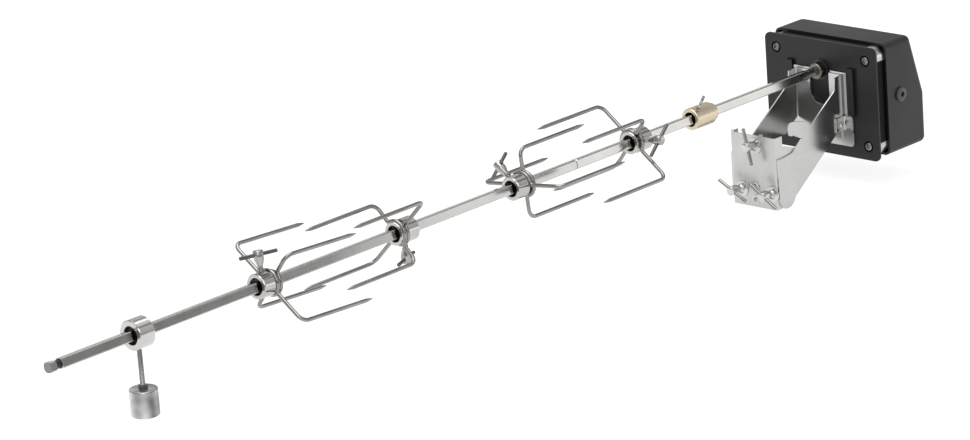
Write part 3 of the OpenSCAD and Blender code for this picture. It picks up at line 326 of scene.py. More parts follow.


# Cold-drawn stainless bar: faint draw lines along it, and a smooth even shine. The free half is
# painted a little greyer, as painted shade for the dimmer light on it. Its neck and the step at
# the joint carry painted shade, and its sawn end is dull and darker.
DRAWN_BAR = Metal("stainless_steel_drawn_bar", "c0bebb", "b8b6b3", 0.14, 0.015, Lay.ALONG_X, 0.8,
                  0.0006, 160.0, 0.2)
GREY_BAR = Metal("stainless_steel_drawn_bar_grey", "b8b7b5", "b0afad", 0.15, 0.015, Lay.ALONG_X, 0.8,
                 0.0006, 160.0, 0.2, dark=Bore(4.45, FREE_END + 0.6, 0.55), dark_tone="403e3c")
# Stainless steel turned and buffed: nearly a mirror, with faint rings that fan the light. The
# bores are painted dark, as painted shade, and rougher.
POLISHED = Metal("stainless_steel_turned_polished", "bcbab8", "b0aeab", 0.09, 0.02, Lay.ROUND_X,
                 0.35, 0.002, anisotropy=0.4, dark=Bore(8.05), dark_tone="76736f")
POLISHED_COLLAR = Metal("stainless_steel_turned_polished_collar", "cac8c6", "c0bebc", 0.14, 0.02,
                        Lay.ROUND_X, 0.35, 0.002, anisotropy=0.4, dark=Bore(8.75))
# The drive socket is turned and left grey, and its square hole carries painted shade.
TURNED_SOCKET = Metal("steel_turned_grey", "7c7874", "6c6864", 0.22, 0.04, Lay.ROUND_X, 0.4, 0.004,
                      anisotropy=0.4, dark=Bore(4.8))
# The same steel brushed upright, with soft broad bands of lighter and darker grey round the weight that are
# painted reflection.
TURNED_WEIGHT = Metal("stainless_steel_brushed_painted_reflection", "c8c8c8", "6a6a6a", 0.28, 0.02, Lay.ALONG_Z,
                      12.0, 0.004, 300.0, 0.4, (REACH - 961.5, 0.0, SPIT_RISE), detail=0.0)
# The weight's threaded arm, ground bright between its threads.
ARM = Metal("stainless_steel_threaded_rod", "b4b3b1", "a2a09d", 0.22, 0.03, Lay.GRAIN, 0.9, 0.003)
# Drawn spring wire, dulled by heat: mid grey with fine grain.
WIRE = Metal("stainless_steel_drawn_wire", "9a9794", "817e7b", 0.12, 0.03, Lay.GRAIN, 0.9, 0.006)
# The plate's small socket screws: dull dark zinc.
DULL_ZINC = Metal("zinc_plated_steel_dull", "8c8a87", "6e6c69", 0.24, 0.05, Lay.GRAIN, 0.8, 0.004)
# Machine screws and pins with dull zinc: grey, slightly mottled.
ZINC_SCREW = Metal("zinc_plated_steel_turned", "b0aeab", "969491", 0.15, 0.03, Lay.GRAIN, 0.8, 0.004)
# The screws and washers on the flange have a fresh bright zinc.
BRIGHT_ZINC = Metal("zinc_plated_steel_bright", "d0cfcd", "b9b8b5", 0.17, 0.04, Lay.GRAIN, 0.8, 0.004)
# Cross bars of cut wire rod: dark from the mill on the forks, drawn clean on the flange.
MILL_ROD = Metal("steel_wire_rod_dark", "706e6b", "585654", 0.28, 0.05, Lay.GRAIN, 0.8, 0.006)
CLEAN_ROD = Metal("steel_wire_rod_drawn", "a19f9d", "878583", 0.24, 0.05, Lay.GRAIN, 0.8, 0.004)
# Brass dulled to a pale champagne, turned: warm grey-gold with rings. Its bore carries painted shade.
BRASS = Metal("brass_turned_dulled", "d2c5ae", "c4b69e", 0.30, 0.04, Lay.ROUND_X, 0.4, 0.004,
              anisotropy=0.4, dark=Bore(7.4), dark_tone="4a4238")
# Sintered iron: dark grey with open pores.
SINTERED = Metal("iron_sintered", "5a5a5c", "464648", 0.40, 0.08, Lay.GRAIN, 0.5, 0.02)
# Cold-rolled stainless sheet with a bright, nearly mirror face: fine lines along the bracket.
SHEET = Metal("stainless_steel_bright_sheet", "c0c0bf", "b8b8b7", 0.18, 0.015, Lay.ALONG_X, 0.8,
              0.0006, 90.0, 0.3)
# The flange of the same sheet is brushed upright, which blurs what stands in front of it.
FLANGE_SHEET = Metal("stainless_steel_brushed_flange", "c8c8c7", "bebebd", 0.36, 0.02, Lay.ALONG_Z,
                     0.6, 0.001, 90.0, 0.4)
# Zinc-dipped sheet: bright and soft, with the cloudy flowers of zinc.
ZINC_SHEET = Metal("zinc_coated_steel_sheet", "dedfe1", "b9bbbe", 0.26, 0.08, Lay.GRAIN, 4.0, 0.01)
# The pan behind the motor plate has the same coat; its sides carry painted shade, nearly black, for the gap
# behind the plate, all but near its corners.
PAN_WITH_PAINTED_SHADE = Metal("zinc_coated_steel_pan_painted_shade", "c4c5c7", "aaacaf", 0.24, 0.06, Lay.GRAIN, 4.0,
                    0.01, axis_mm=(REACH, 0.0, 74.9), dark=AllButCorners(56.0, 42.75),
                    dark_tone="141415")
# Powder-coated steel: black satin with a fine orange peel.
POWDER = Coating("steel_black_powder_coat", "131314", "0e0e0f", 0.38, 0.05, 0.9, 0.01, 0.4)
# Moulded ABS with a spark-eroded face: dark grey satin that lifts to grey where light grazes it.
ABS = Coating("abs_black_moulded", "19191a", "141415", 0.46, 0.05, 0.5, 0.01, 0.4)
# The large heads of the side screws: the same plastic with a smoother, paler face.
CAP = Coating("abs_grey_moulded_cap", "3c3c3e", "333335", 0.35, 0.04, 0.5, 0.006)
# Natural nylon gears: ivory, slightly waxy.
NYLON = Coating("nylon_natural_moulded", "e4dfcf", "d3ccb8", 0.45, 0.06, 0.8, 0.01)
# Glossy red rocker.
RED = Coating("polycarbonate_red_gloss", "b5231b", "9c1a13", 0.18, 0.03, 1.5, 0.004)
# White print on the rocker.
WHITE_INK = Coating("ink_white_printed", "efefec", "dededa", 0.5, 0.05, 0.6, 0.003)
# Black rings round the plate's screws: painted shade for the shade in the dimples round their heads.
DIMPLE_SHADE_BLACK = Coating("black_ring_painted_dimple_shade", "0a0a0a", "070707", 0.8, 0.05, 0.4, 0.01, 0.1)


def geometry_tree(name: str, inputs: dict[str, tuple[str, Any]]
                  ) -> tuple[bpy.types.NodeTree, bpy.types.Node, Callable[[Any], None]]:
    """Starts a Geometry Nodes tree with named inputs.

    Args:
        name: The tree's name.
        inputs: For each input's name, its socket type and its default value.

    Returns:
        The tree, its input node, and a function that ends it in Realize Instances and Set Material.
    """
    tree = bpy.data.node_groups.new(name, "GeometryNodeTree")
    tree.interface.new_socket("Geometry", in_out="OUTPUT", socket_type="NodeSocketGeometry")
    tree.interface.new_socket("Geometry", in_out="INPUT", socket_type="NodeSocketGeometry")
    for label, (kind, value) in inputs.items():
        socket = tree.interface.new_socket(label, in_out="INPUT", socket_type=kind)
        if value is not None:
            socket.default_value = value
    tree.interface.new_socket("Material", in_out="INPUT", socket_type="NodeSocketMaterial")
    start = add_node(tree, "NodeGroupInput")

    def close(geometry: bpy.types.NodeSocket) -> None:
        """Ends the tree."""
        real = add_node(tree, "GeometryNodeRealizeInstances", {"Geometry": geometry})
        made = add_node(tree, "GeometryNodeSetMaterial", {
            "Geometry": real.outputs["Geometry"], "Material": start.outputs["Material"]})
        add_node(tree, "NodeGroupOutput", {"Geometry": made.outputs["Geometry"]})

    return tree, start, close


def swept_wire_tree() -> bpy.types.NodeTree:
    """Sweeps a round wire along the base mesh's edges, with the radius of each point's attribute."""
    tree, start, close = geometry_tree("swept_wire", {"Sides": ("NodeSocketInt", 28)})
    curve = add_node(tree, "GeometryNodeMeshToCurve", {"Mesh": start.outputs["Geometry"]})
    radius = add_node(tree, "GeometryNodeInputNamedAttribute", {"Name": "wire_radius"},
                      data_type="FLOAT")
    profile = add_node(tree, "GeometryNodeCurvePrimitiveCircle", {
        "Resolution": start.outputs["Sides"], "Radius": 1.0})
    tube = add_node(tree, "GeometryNodeCurveToMesh", {
        "Curve": curve.outputs["Curve"], "Profile Curve": profile.outputs["Curve"],
        "Scale": radius.outputs["Attribute"], "Fill Caps": True})
    close(tube.outputs["Mesh"])
    return tree


def thread_tree() -> bpy.types.NodeTree:
    """Winds a thread along Z from the origin, and joins it to the base mesh."""
    tree, start, close = geometry_tree("wound_thread", {
        "Radius": ("NodeSocketFloat", 0.003), "Pitch": ("NodeSocketFloat", 0.001),
        "Length": ("NodeSocketFloat", 0.01), "Bottom": ("NodeSocketFloat", 0.0)})
    turns = add_node(tree, "ShaderNodeMath", {
        0: start.outputs["Length"], 1: start.outputs["Pitch"]}, operation="DIVIDE")
    ridge = add_node(tree, "ShaderNodeMath", {0: start.outputs["Pitch"], 1: 0.5},
                     operation="MULTIPLY")
    middle = add_node(tree, "ShaderNodeMath", {
        0: start.outputs["Radius"], 1: ridge.outputs[0]}, operation="SUBTRACT")
    helix = add_node(tree, "GeometryNodeCurveSpiral", {
        "Resolution": 20, "Rotations": turns.outputs[0], "Start Radius": middle.outputs[0],
        "End Radius": middle.outputs[0], "Height": start.outputs["Length"]})
    upright = add_node(tree, "GeometryNodeSetCurveNormal", {"Curve": helix.outputs["Curve"]},
                       mode="Z_UP")
    # A square on its corner gives flanks at 45 degrees, close to a real thread's 30.
    profile = add_node(tree, "GeometryNodeCurvePrimitiveCircle", {
        "Resolution": 4, "Radius": ridge.outputs[0]})
    wound = add_node(tree, "GeometryNodeCurveToMesh", {
        "Curve": upright.outputs["Curve"], "Profile Curve": profile.outputs["Curve"],
        "Fill Caps": True})
    lift = add_node(tree, "ShaderNodeCombineXYZ", {"Z": start.outputs["Bottom"]})
    placed = add_node(tree, "GeometryNodeTransform", {
        "Geometry": wound.outputs["Mesh"], "Translation": lift.outputs["Vector"]})
    both = add_node(tree, "GeometryNodeJoinGeometry")
    tree.links.new(placed.outputs["Geometry"], both.inputs["Geometry"])
    tree.links.new(start.outputs["Geometry"], both.inputs["Geometry"])
    close(both.outputs["Geometry"])
    return tree


def repeated_tree() -> bpy.types.NodeTree:
    """Sets the part on each point of the base mesh, its Z along the point's attribute facing."""
    tree, start, close = geometry_tree("repeated_part", {"Part": ("NodeSocketObject", None)})
    facing = add_node(tree, "GeometryNodeInputNamedAttribute", {"Name": "facing"},
                      data_type="FLOAT_VECTOR")
    turn = add_node(tree, "FunctionNodeAlignRotationToVector", {
        "Vector": facing.outputs["Attribute"]}, axis="Z")
    part = add_node(tree, "GeometryNodeObjectInfo", {"Object": start.outputs["Part"]})
    points = add_node(tree, "GeometryNodeInstanceOnPoints", {
        "Points": start.outputs["Geometry"], "Instance": part.outputs["Geometry"],
        "Rotation": turn.outputs["Rotation"]})
    close(points.outputs["Instances"])
    return tree


def grown(tree: bpy.types.NodeTree, base: bpy.types.Mesh, values: dict[str, Any]
          ) -> bpy.types.Mesh:
    """Runs a Geometry Nodes tree on a mesh.

    Args:
        tree: The tree.
        base: The mesh that it starts from.
        values: A value for each of its named inputs.

    Returns:
        The result as a plain mesh.
    """
    carrier = bpy.data.objects.new("carrier", base)
    bpy.context.scene.collection.objects.link(carrier)
    modifier = carrier.modifiers.new("nodes", "NODES")
    modifier.node_group = tree
    sockets = {item.name: item.identifier for item in tree.interface.items_tree
               if item.item_type == "SOCKET" and item.in_out == "INPUT"}
    for label, value in values.items():
        modifier[sockets[label]] = value
    depsgraph = bpy.context.evaluated_depsgraph_get()
    mesh = bpy.data.meshes.new_from_object(carrier.evaluated_get(depsgraph),
                                           preserve_all_data_layers=True, depsgraph=depsgraph)
    carrier.modifiers.clear()
    bpy.data.objects.remove(carrier)
    return mesh


def lathed(profile: Sequence[tuple[float, float]], sides: int = 64) -> bpy.types.Mesh:
    """Turns a profile about Z.

    Args:
        profile: Radius and height of each point in millimetres, from the bottom to the top.
        sides: How many steps the turn has.

    Returns:
        The closed mesh, in metres.
    """
    form = bmesh.new()
    rings = []
    for radius, height in profile:
        if radius == 0:
            rings.append([form.verts.new((0, 0, height * MM))])
        else:
            rings.append([form.verts.new((radius * MM * math.cos(math.tau * k / sides),
                                          radius * MM * math.sin(math.tau * k / sides),
                                          height * MM)) for k in range(sides)])
    for low, high in zip(rings, rings[1:]):
        for k in range(sides):
            corners = [low[k % len(low)], low[(k + 1) % len(low)],
                       high[(k + 1) % len(high)], high[k % len(high)]]
            distinct = list(dict.fromkeys(corners))
            if len(distinct) > 2:
                form.faces.new(distinct)
    bmesh.ops.recalc_face_normals(form, faces=form.faces)
    mesh = bpy.data.meshes.new("lathed")
    form.to_mesh(mesh)
    form.free()
    return mesh


def cut(mesh: bpy.types.Mesh, cutter: bpy.types.Mesh) -> bpy.types.Mesh:
    """Takes one closed mesh out of another and returns what is left."""
    body, tool = (bpy.data.objects.new("cut", m) for m in (mesh, cutter))
    for thing in (body, tool):
        bpy.context.scene.collection.objects.link(thing)
    modifier = body.modifiers.new("cut", "BOOLEAN")
    modifier.object, modifier.operation, modifier.solver = tool, "DIFFERENCE", "EXACT"
    depsgraph = bpy.context.evaluated_depsgraph_get()
    left = bpy.data.meshes.new_from_object(body.evaluated_get(depsgraph))
    for thing in (body, tool):
        bpy.data.objects.remove(thing)
    return left


def add_piece(name: str, mesh: bpy.types.Mesh, body: str, material: bpy.types.Material,
              stands_for: Sequence[str] = (), sharp_deg: float = 32.0) -> bpy.types.Object:
    """Args:
        name: The piece's name.
        mesh: The mesh, in metres in the frame.
        body: The body that it moves with.
        material: Its finish.
        stands_for: The CAD nodes that it takes the place of.
        sharp_deg: Edges sharper than this stay crisp.

    Returns:
        The piece.
    """
    mesh.materials.clear()
    mesh.materials.append(material)
    mesh.shade_smooth()
    mesh.set_sharp_from_angle(angle=math.radians(sharp_deg))
    piece = bpy.data.objects.new(name, mesh)
    bpy.context.scene.collection.objects.link(piece)
    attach(piece, body)
    if stands_for:
        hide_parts(*stands_for)
    log.info("%s: %d faces on %s", name, len(mesh.polygons), body)
    return piece


def dress(node: str, material: bpy.types.Material, edge_mm: float = 0.15) -> None:
    """Gives a CAD node its finish, smooth shading and, where asked, softly broken edges.

    Args:
        node: The node.
        material: Its finish.
        edge_mm: Width of the broken edge in millimetres, or 0 for none.
    """
    piece = frame["nodes"][node]
    mesh = piece.data
    if "custom_normal" in mesh.attributes:
        mesh.attributes.remove(mesh.attributes["custom_normal"])
    mesh.materials.clear()
    mesh.materials.append(material)
    mesh.polygons.foreach_set("use_smooth", [True] * len(mesh.polygons))
    weld = piece.modifiers.new("weld", "WELD")
    weld.merge_threshold = 0.002 * MM
    flat = piece.modifiers.new("flats", "DECIMATE")
    flat.decimate_type, flat.angle_limit = "DISSOLVE", math.radians(0.4)
    if edge_mm:
        bevel = piece.modifiers.new("edges", "BEVEL")
        bevel.width, bevel.segments = edge_mm * MM, 2
        bevel.limit_method, bevel.angle_limit = "ANGLE", math.radians(35)
        bevel.harden_normals = True
        bevel.use_clamp_overlap = True
    else:
        piece.modifiers.new("crisp", "EDGE_SPLIT").split_angle = math.radians(32)
    log.info("%s: finish %s", node, material.name)


def on_spit(station: float, turn: float = 0.0, face: int = 1) -> Matrix:
    """Where a shape drawn along Z sits on the spit, in metres.

    Args:
        station: Distance from the motor plate in millimetres.
        turn: Angle of its X from +Y, in degrees.
        face: -1 for a shape that looks away from the motor.

    Returns:
        The transform.
    """
    return (Matrix.Translation((MM * (REACH - station), 0, MM * SPIT_RISE))
            @ Matrix.Rotation(math.radians(90), 4, "Y")
            @ Matrix.Rotation(math.radians(turn + 90), 4, "Z")
            @ Matrix.Rotation(math.radians(180 if face < 0 else 0), 4, "X"))


@dataclass
class Trees:
    """The three Geometry Nodes trees, made once."""

    wire: bpy.types.NodeTree = field(default_factory=swept_wire_tree)
    thread: bpy.types.NodeTree = field(default_factory=thread_tree)
    repeat: bpy.types.NodeTree = field(default_factory=repeated_tree)


@dataclass
class BarrelScrew:
    """Thumb screw with a barrel head: threaded shank, cone, barrel, and a cross bar through it.

    Sizes are in millimetres. The shank starts below the face that the screw stands on.
    """

    name: str
    body: str
    inside: float
    stand: float
    place: Matrix
    shank_d: float = SCREW_D
    pitch: float = 1.0
    cone: float = 6.0
    barrel_d: float = 9.8
    barrel: float = 8.0
    bevel: float = 0.8
    metal: Metal = ZINC_SCREW
    bar_metal: Metal = MILL_ROD

    def build(self, trees: Trees) -> None:
        """Builds the screw in place of its node, and gives the cross bar its finish."""
        root = self.shank_d / 2 - self.pitch / 2
        shank, barrel = self.shank_d / 2, self.barrel_d / 2
        low, high = self.stand + self.cone, self.stand + self.cone + self.barrel
        neck = max(self.stand - 1.0, 0.0)
        profile = [(0, -self.inside), (root - 0.6, -self.inside), (root, 0.6 - self.inside),
                   (root, neck), (shank, neck + 0.5), (shank, self.stand), (barrel, low - 0.3),
                   (barrel, high - self.bevel), (barrel - 0.3, high - 0.3),
                   (barrel - self.bevel, high), (0, high)]
        solid = lathed(profile)
        length = self.inside + neck - 1.2
        mesh = grown(trees.thread, solid, {
            "Radius": shank * MM, "Pitch": self.pitch * MM, "Length": length * MM,
            "Bottom": (0.6 - self.inside) * MM, "Material": self.metal.material()})
        mesh.transform(self.place)
        add_piece(f"{self.name}_screw_threaded", mesh, self.body,
                  self.metal.material(), [f"{self.name}_screw"])
        dress(f"{self.name}_bar", self.bar_metal.material(), 0.3)


def spit_support(angle: float, side: float = 9.525, corner: float = 1.3) -> float:
    """Farthest reach of the square spit in the direction of a screw, in millimetres."""
    d = math.radians(angle - SPIT_TURN)
    return (side / 2 - corner) * (abs(math.cos(d)) + abs(math.sin(d))) + corner


@dataclass
class Fork:
    """One meat fork: hub, two bent and pointed wires, and a thumb screw. Millimetres and degrees."""

    number: int
    station: float
    turn: float
    face: int
    drop: float = 0.0
    swing: float = 0.0
    long_reach: float = 51.0
    short_reach: float = 34.5
    wire_d: float = 4.0
    wire_gap: float = 0.1
    tine: float = 93.0
    bend: float = 8.0
    root_bend: float = 3.6
    point: float = 8.5
    blunt_d: float = 0.9
    leg_angle: float = 45.0
    screw_back: float = 8.8
    stand: float = 6.0

    @property
    def ring_radius(self) -> float:
        """Radius of the wire's middle round the hub."""
        return HUB_D / 2 + 0.05

    def place(self) -> Matrix:
        """Where a shape of the fork sits, with the lean that a loose hub takes round its screw."""
        pivot = Vector((REACH - self.station - self.face * self.screw_back, 0, SPIT_RISE)) * MM
        return (Matrix.Translation(pivot) @ Matrix.Rotation(math.radians(self.swing), 4, "Z")
                @ Matrix.Rotation(math.radians(self.drop), 4, "Y") @ Matrix.Translation(-pivot)
                @ on_spit(self.station, self.turn, self.face))

    def half_path(self, reach: float) -> list[tuple[Point, float]]:
        """Half of a wire, from the middle of its turn round the hub to its tip.

        Args:
            reach: Distance from the spit's axis to the tine.

        Returns:
            Each point and the wire's radius there.
        """
        r, full = self.root_bend, self.wire_d / 2
        lean = math.asin(r / (self.ring_radius + r))
        root_x = (self.ring_radius + r) * math.cos(lean)
        path: list[tuple[Point, float]] = []
        for i in range(17):
            a = math.radians(90) - (math.radians(90) - lean) * i / 16
            path.append(((self.ring_radius * math.cos(a), self.ring_radius * math.sin(a), 0), full))
        for i in range(1, 11):
            a = math.pi + lean + (math.radians(90) - lean) * i / 10
            path.append(((root_x + r * math.cos(a), r + r * math.sin(a), 0), full))
        for i in range(13):
            a = math.radians(90) * i / 12
            path.append(((reach - self.bend + self.bend * math.sin(a), 0,
                          self.bend * (1 - math.cos(a))), full))
        # The point is ground with a slight belly and ends blunt.
        for share, width in ((0, 1), (0.02, 0.985), (0.5, 0.63), (0.93, 0.28), (0.985, 0.22),
                             (1, 0.1)):
            path.append(((reach, 0, self.tine - self.point * (1 - share)), full * width))
        return path

    def wire(self, reach: float, side: float, turn: float) -> tuple[list[Point], list[float]]:
        """All points of one wire in the frame's millimetres, and the radius at each."""
        half = self.half_path(reach)
        both = [((-p[0], p[1], p[2]), r) for p, r in reversed(half[1:])] + half
        place = (self.place()
                 @ Matrix.Translation((0, 0, side * (self.wire_d + self.wire_gap) / 2 * MM))
                 @ Matrix.Rotation(math.radians(turn), 4, "Z"))
        return [tuple(place @ (Vector(p) * MM)) for p, _ in both], [r * MM for _, r in both]

    def build(self, trees: Trees) -> None:
        """Builds the tines in place of their node and dresses the rest."""
        name, body = f"fork_{self.number}", f"fork_{self.number}"
        points: list[Point] = []
        radii: list[float] = []
        edges: list[tuple[int, int]] = []
        for reach, side, turn in ((self.long_reach, -1, -self.leg_angle),
                                  (self.short_reach, 1, self.leg_angle)):
            run, thick = self.wire(reach, side, turn)
            edges += [(len(points) + i, len(points) + i + 1) for i in range(len(run) - 1)]
            points += run
            radii += thick
        base = bpy.data.meshes.new("path")
        base.from_pydata(points, edges, [])
        base.attributes.new("wire_radius", "FLOAT", "POINT").data.foreach_set("value", radii)
        mesh = grown(trees.wire, base, {"Sides": 28, "Material": WIRE.material()})
        add_piece(f"{name}_wires", mesh, body, WIRE.material(), [f"{name}_tines"], 50)
        dress(f"{name}_hub", POLISHED.material(), 0.15)
        place = (self.place() @ Matrix.Translation((HUB_D / 2 * MM, 0, -self.screw_back * MM))
                 @ Matrix.Rotation(math.radians(90), 4, "Y"))
        inside = HUB_D / 2 - spit_support(self.turn) - 0.3
        BarrelScrew(name, f"{name}_thumb_screw", inside, self.stand, place).build(trees)


@dataclass
class Spit:
    """The two halves of the square spit; the free half is painted greyer as painted shade."""

    drive: Metal = DRAWN_BAR
    free: Metal = GREY_BAR

    def build(self) -> None:
        """Dresses both halves as drawn bar."""
        dress("spit_drive_half", self.drive.material(), 0.0)
        dress("spit_free_half", self.free.material(), 0.0)


@dataclass
class Counterweight:
    """Collar, threaded arm, weight and jam nut. Millimetres."""

    station: float = 961.5
    drop: float = 51.5
    height: float = 25.5
    arm_d: float = 5.0
    pitch: float = 0.8
    inner: float = (9.525 / 2 - 1.3) * math.sqrt(2) + 1.3 + 0.05

    def build(self, trees: Trees) -> None:
        """Builds the threaded arm in place of its node and dresses the rest."""
        length = self.drop + self.height - 2 - self.inner
        root = self.arm_d / 2 - self.pitch / 2
        rod = lathed([(0, 0), (root - 0.2, 0), (root, 0.3), (root, length - 0.3),
                      (root - 0.2, length), (0, length)], 32)
        mesh = grown(trees.thread, rod, {
            "Radius": self.arm_d / 2 * MM, "Pitch": self.pitch * MM,
            "Length": (length - 2 * self.pitch) * MM, "Bottom": self.pitch * MM,
            "Material": ARM.material()})
        mesh.transform(on_spit(self.station, -90)
                       @ Matrix.Translation((self.inner * MM, 0, 0))
                       @ Matrix.Rotation(math.radians(90), 4, "Y"))
        add_piece("weight_arm_threaded", mesh, "arm", ARM.material(),
                  ["weight_arm"])
        dress("weight_collar", POLISHED_COLLAR.material(), 0.2)
        dress("weight", TURNED_WEIGHT.material(), 0.0)
        dress("jam_nut", MILL_ROD.material(), 0.15)


@dataclass
class Bushing:
    """Brass bushing and its flat-headed thumb screw."""

    def build(self) -> None:
        """Dresses both."""
        dress("bushing", BRASS.material(), 0.2)
        dress("bushing_screw", ZINC_SCREW.material(), 0.5)


@dataclass
class Bracket:
    """The folded bracket with its fittings and the three screws that clamp it to a grill."""

    screws: tuple[tuple[str, float, float, float], ...] = (
        ("upper", -1.5, 52.0, 1.6), ("near", -21.75, 3.5, 5.0), ("far", 18.75, 3.5, 5.0))
    flange_x: float = 1.0
    inside: float = 1.5 + 5.0 + 5.0
    insert_spacing: float = 14.0
    insert_bore: float = 5.0
    insert_depth: float = 9.0
    insert_pitch: float = 0.8

    def build(self, trees: Trees) -> None:
        """Dresses the sheet pieces and builds the screws and the inserts' threads."""
        for node in ("bracket_channel", "bracket_back_plate", "corner_angle"):
            dress(node, SHEET.material(), 0.2)
        dress("bracket_flange", FLANGE_SHEET.material(), 0.2)
        for node in ("threaded_inserts", "weld_nuts", "washers", "angle_screw"):
            dress(node, BRIGHT_ZINC.material(), 0.12)
        for name, y, z, stand in self.screws:
            place = (Matrix.Translation((self.flange_x * MM, y * MM, z * MM))
                     @ Matrix.Rotation(math.radians(-90), 4, "Y"))
            BarrelScrew(name, f"{name}_thumb_screw", self.inside, stand, place,
                        metal=BRIGHT_ZINC, bar_metal=CLEAN_ROD).build(trees)
        self._insert_threads(trees)

    def _insert_threads(self, trees: Trees) -> None:
        """Winds the female threads inside the two inserts."""
        for name, side in (("upper", 1), ("lower", -1)):
            empty = bpy.data.meshes.new("none")
            mesh = grown(trees.thread, empty, {
                "Radius": (self.insert_bore / 2 + self.insert_pitch / 2) * MM,
                "Pitch": self.insert_pitch * MM, "Length": (self.insert_depth - 1.4) * MM,
                "Bottom": 0.7 * MM, "Material": ZINC_SCREW.material()})
            mesh.transform(Matrix.Translation((0, 0, side * self.insert_spacing / 2 * MM))
                           @ Matrix.Rotation(math.radians(90), 4, "Y"))
            add_piece(f"{name}_insert_thread", mesh, "bracket",
                      ZINC_SCREW.material())


@dataclass
class SocketScrews:
    """Round-headed screws with a hexagon socket, one at each place. Millimetres.

    Where the ring's diameter is given, a thin black ring lies round each head as painted shade for its
    dimple.
    """

    name: str
    node: str
    places: tuple[tuple[Point, Point], ...]
    shank_d: float = 3.8
    head_d: float = 8.0
    head_h: float = 2.0
    length: float = 8.0
    socket: float = 3.0
    depth: float = 1.3
    rim: float = 0.45
    shade_ring_d: float = 0.0

    def build(self, trees: Trees, material: bpy.types.Material) -> None:
        """Builds the set in place of its node."""
        r, h = self.head_d / 2, self.head_h
        dome = [(r * math.cos(a), self.rim + (h - self.rim) * math.sin(a))
                for a in (math.radians(90) * i / 8 for i in range(8))]
        solid = lathed([(0, -self.length), (self.shank_d / 2, -self.length), (self.shank_d / 2, 0),
                        (r - 0.15, 0), (r, 0.15), *dome, (0, h)], 48)
        hexagon = lathed([(0, h - self.depth - 0.3), (self.socket / 2, h - self.depth),
                          (self.socket / 2, h + 1), (0, h + 1)], 6)
        add_piece(self.name, self._repeat(trees, cut(solid, hexagon), material), "motor",
                  material, [self.node])
        # Painted shade: a thin black ring round each head darkens the plate's dimple.
        if self.shade_ring_d:
            ring = lathed([(r + 0.1, 0.02), (self.shade_ring_d / 2, 0.02), (self.shade_ring_d / 2, 0.5),
                           (r + 0.1, 0.5), (r + 0.1, 0.02)], 48)
            add_piece(f"{self.name}_washers", self._repeat(trees, ring, DIMPLE_SHADE_BLACK.material()),
                      "motor", DIMPLE_SHADE_BLACK.material())

    def _repeat(self, trees: Trees, shape: bpy.types.Mesh, material: bpy.types.Material
                ) -> bpy.types.Mesh:
        """Sets a shape at every place, its Z along the way that the screw faces."""
        part = bpy.data.objects.new("part", shape)
        bpy.context.scene.collection.objects.link(part)
        base = bpy.data.meshes.new("places")
        base.from_pydata([tuple(c * MM for c in p) for p, _ in self.places], [], [])
        facing = base.attributes.new("facing", "FLOAT_VECTOR", "POINT")
        facing.data.foreach_set("vector", [c for _, way in self.places for c in way])
        mesh = grown(trees.repeat, base, {"Part": part, "Material": material})
        bpy.data.objects.remove(part)
        return mesh


@dataclass
class Motor:
    """The motor unit's outside: front plate, rails, tray, housing, screws, gland. Millimetres."""

    plate_width: float = 146.0
    plate_height: float = 120.5
    plate_top: float = 31.0
    plate_t: float = 2.0
    inset: float = 14.7
    dimple: float = 0.8
    housing_width: float = 145.5
    side_screw: tuple[float, float] = (REACH + 2.0 + 15.0 + 13.0 + 8.0, SPIT_RISE - 26.0)

    def build(self, trees: Trees) -> None:
        """Dresses the pieces and builds the two sets of screws."""
        dress("motor_plate", POWDER.material(), 0.3)
        dress("guide_rails", POWDER.material(), 0.3)
        dress("housing", ABS.material(), 0.0)
        dress("cable_gland", ABS.material(), 0.2)
        dress("chassis_tray", PAN_WITH_PAINTED_SHADE.material(), 0.0)
        y = self.plate_width / 2 - self.inset
        top = SPIT_RISE + self.plate_top
        heights = (top - self.inset, top - self.plate_height + self.inset)
        x = REACH + self.dimple
        SocketScrews("plate_socket_screws", "plate_screws", tuple(
            ((x, side * y, z), (-1.0, 0.0, 0.0)) for side in (-1, 1) for z in heights),
            head_d=8.2, socket=4.4, depth=1.5, shade_ring_d=11.9).build(trees, DULL_ZINC.material())
        x, z = self.side_screw
        SocketScrews("housing_socket_screws", "housing_screws", tuple(
            ((x, side * (self.housing_width / 2 + 0.05), z), (0.0, float(side), 0.0))
            for side in (-1, 1)), head_d=15.0, head_h=3.0, socket=6.0, depth=2.5, rim=1.7
        ).build(trees, CAP.material())


@dataclass
class GearTrain:
    """What turns inside the motor, and what holds it."""

    def build(self) -> None:
        """Dresses the pieces."""
        dress("drive_socket", TURNED_SOCKET.material(), 0.15)
        dress("bearing", SINTERED.material(), 0.15)
        for node in ("output_gear", "idler_gear"):
            dress(node, NYLON.material(), 0.0)
        for node in ("rotor", "idler_pin", "gear_posts"):
            dress(node, ZINC_SCREW.material(), 0.0)
        for node in ("gear_plate", "motor_can"):
            dress(node, ZINC_SHEET.material(), 0.2)


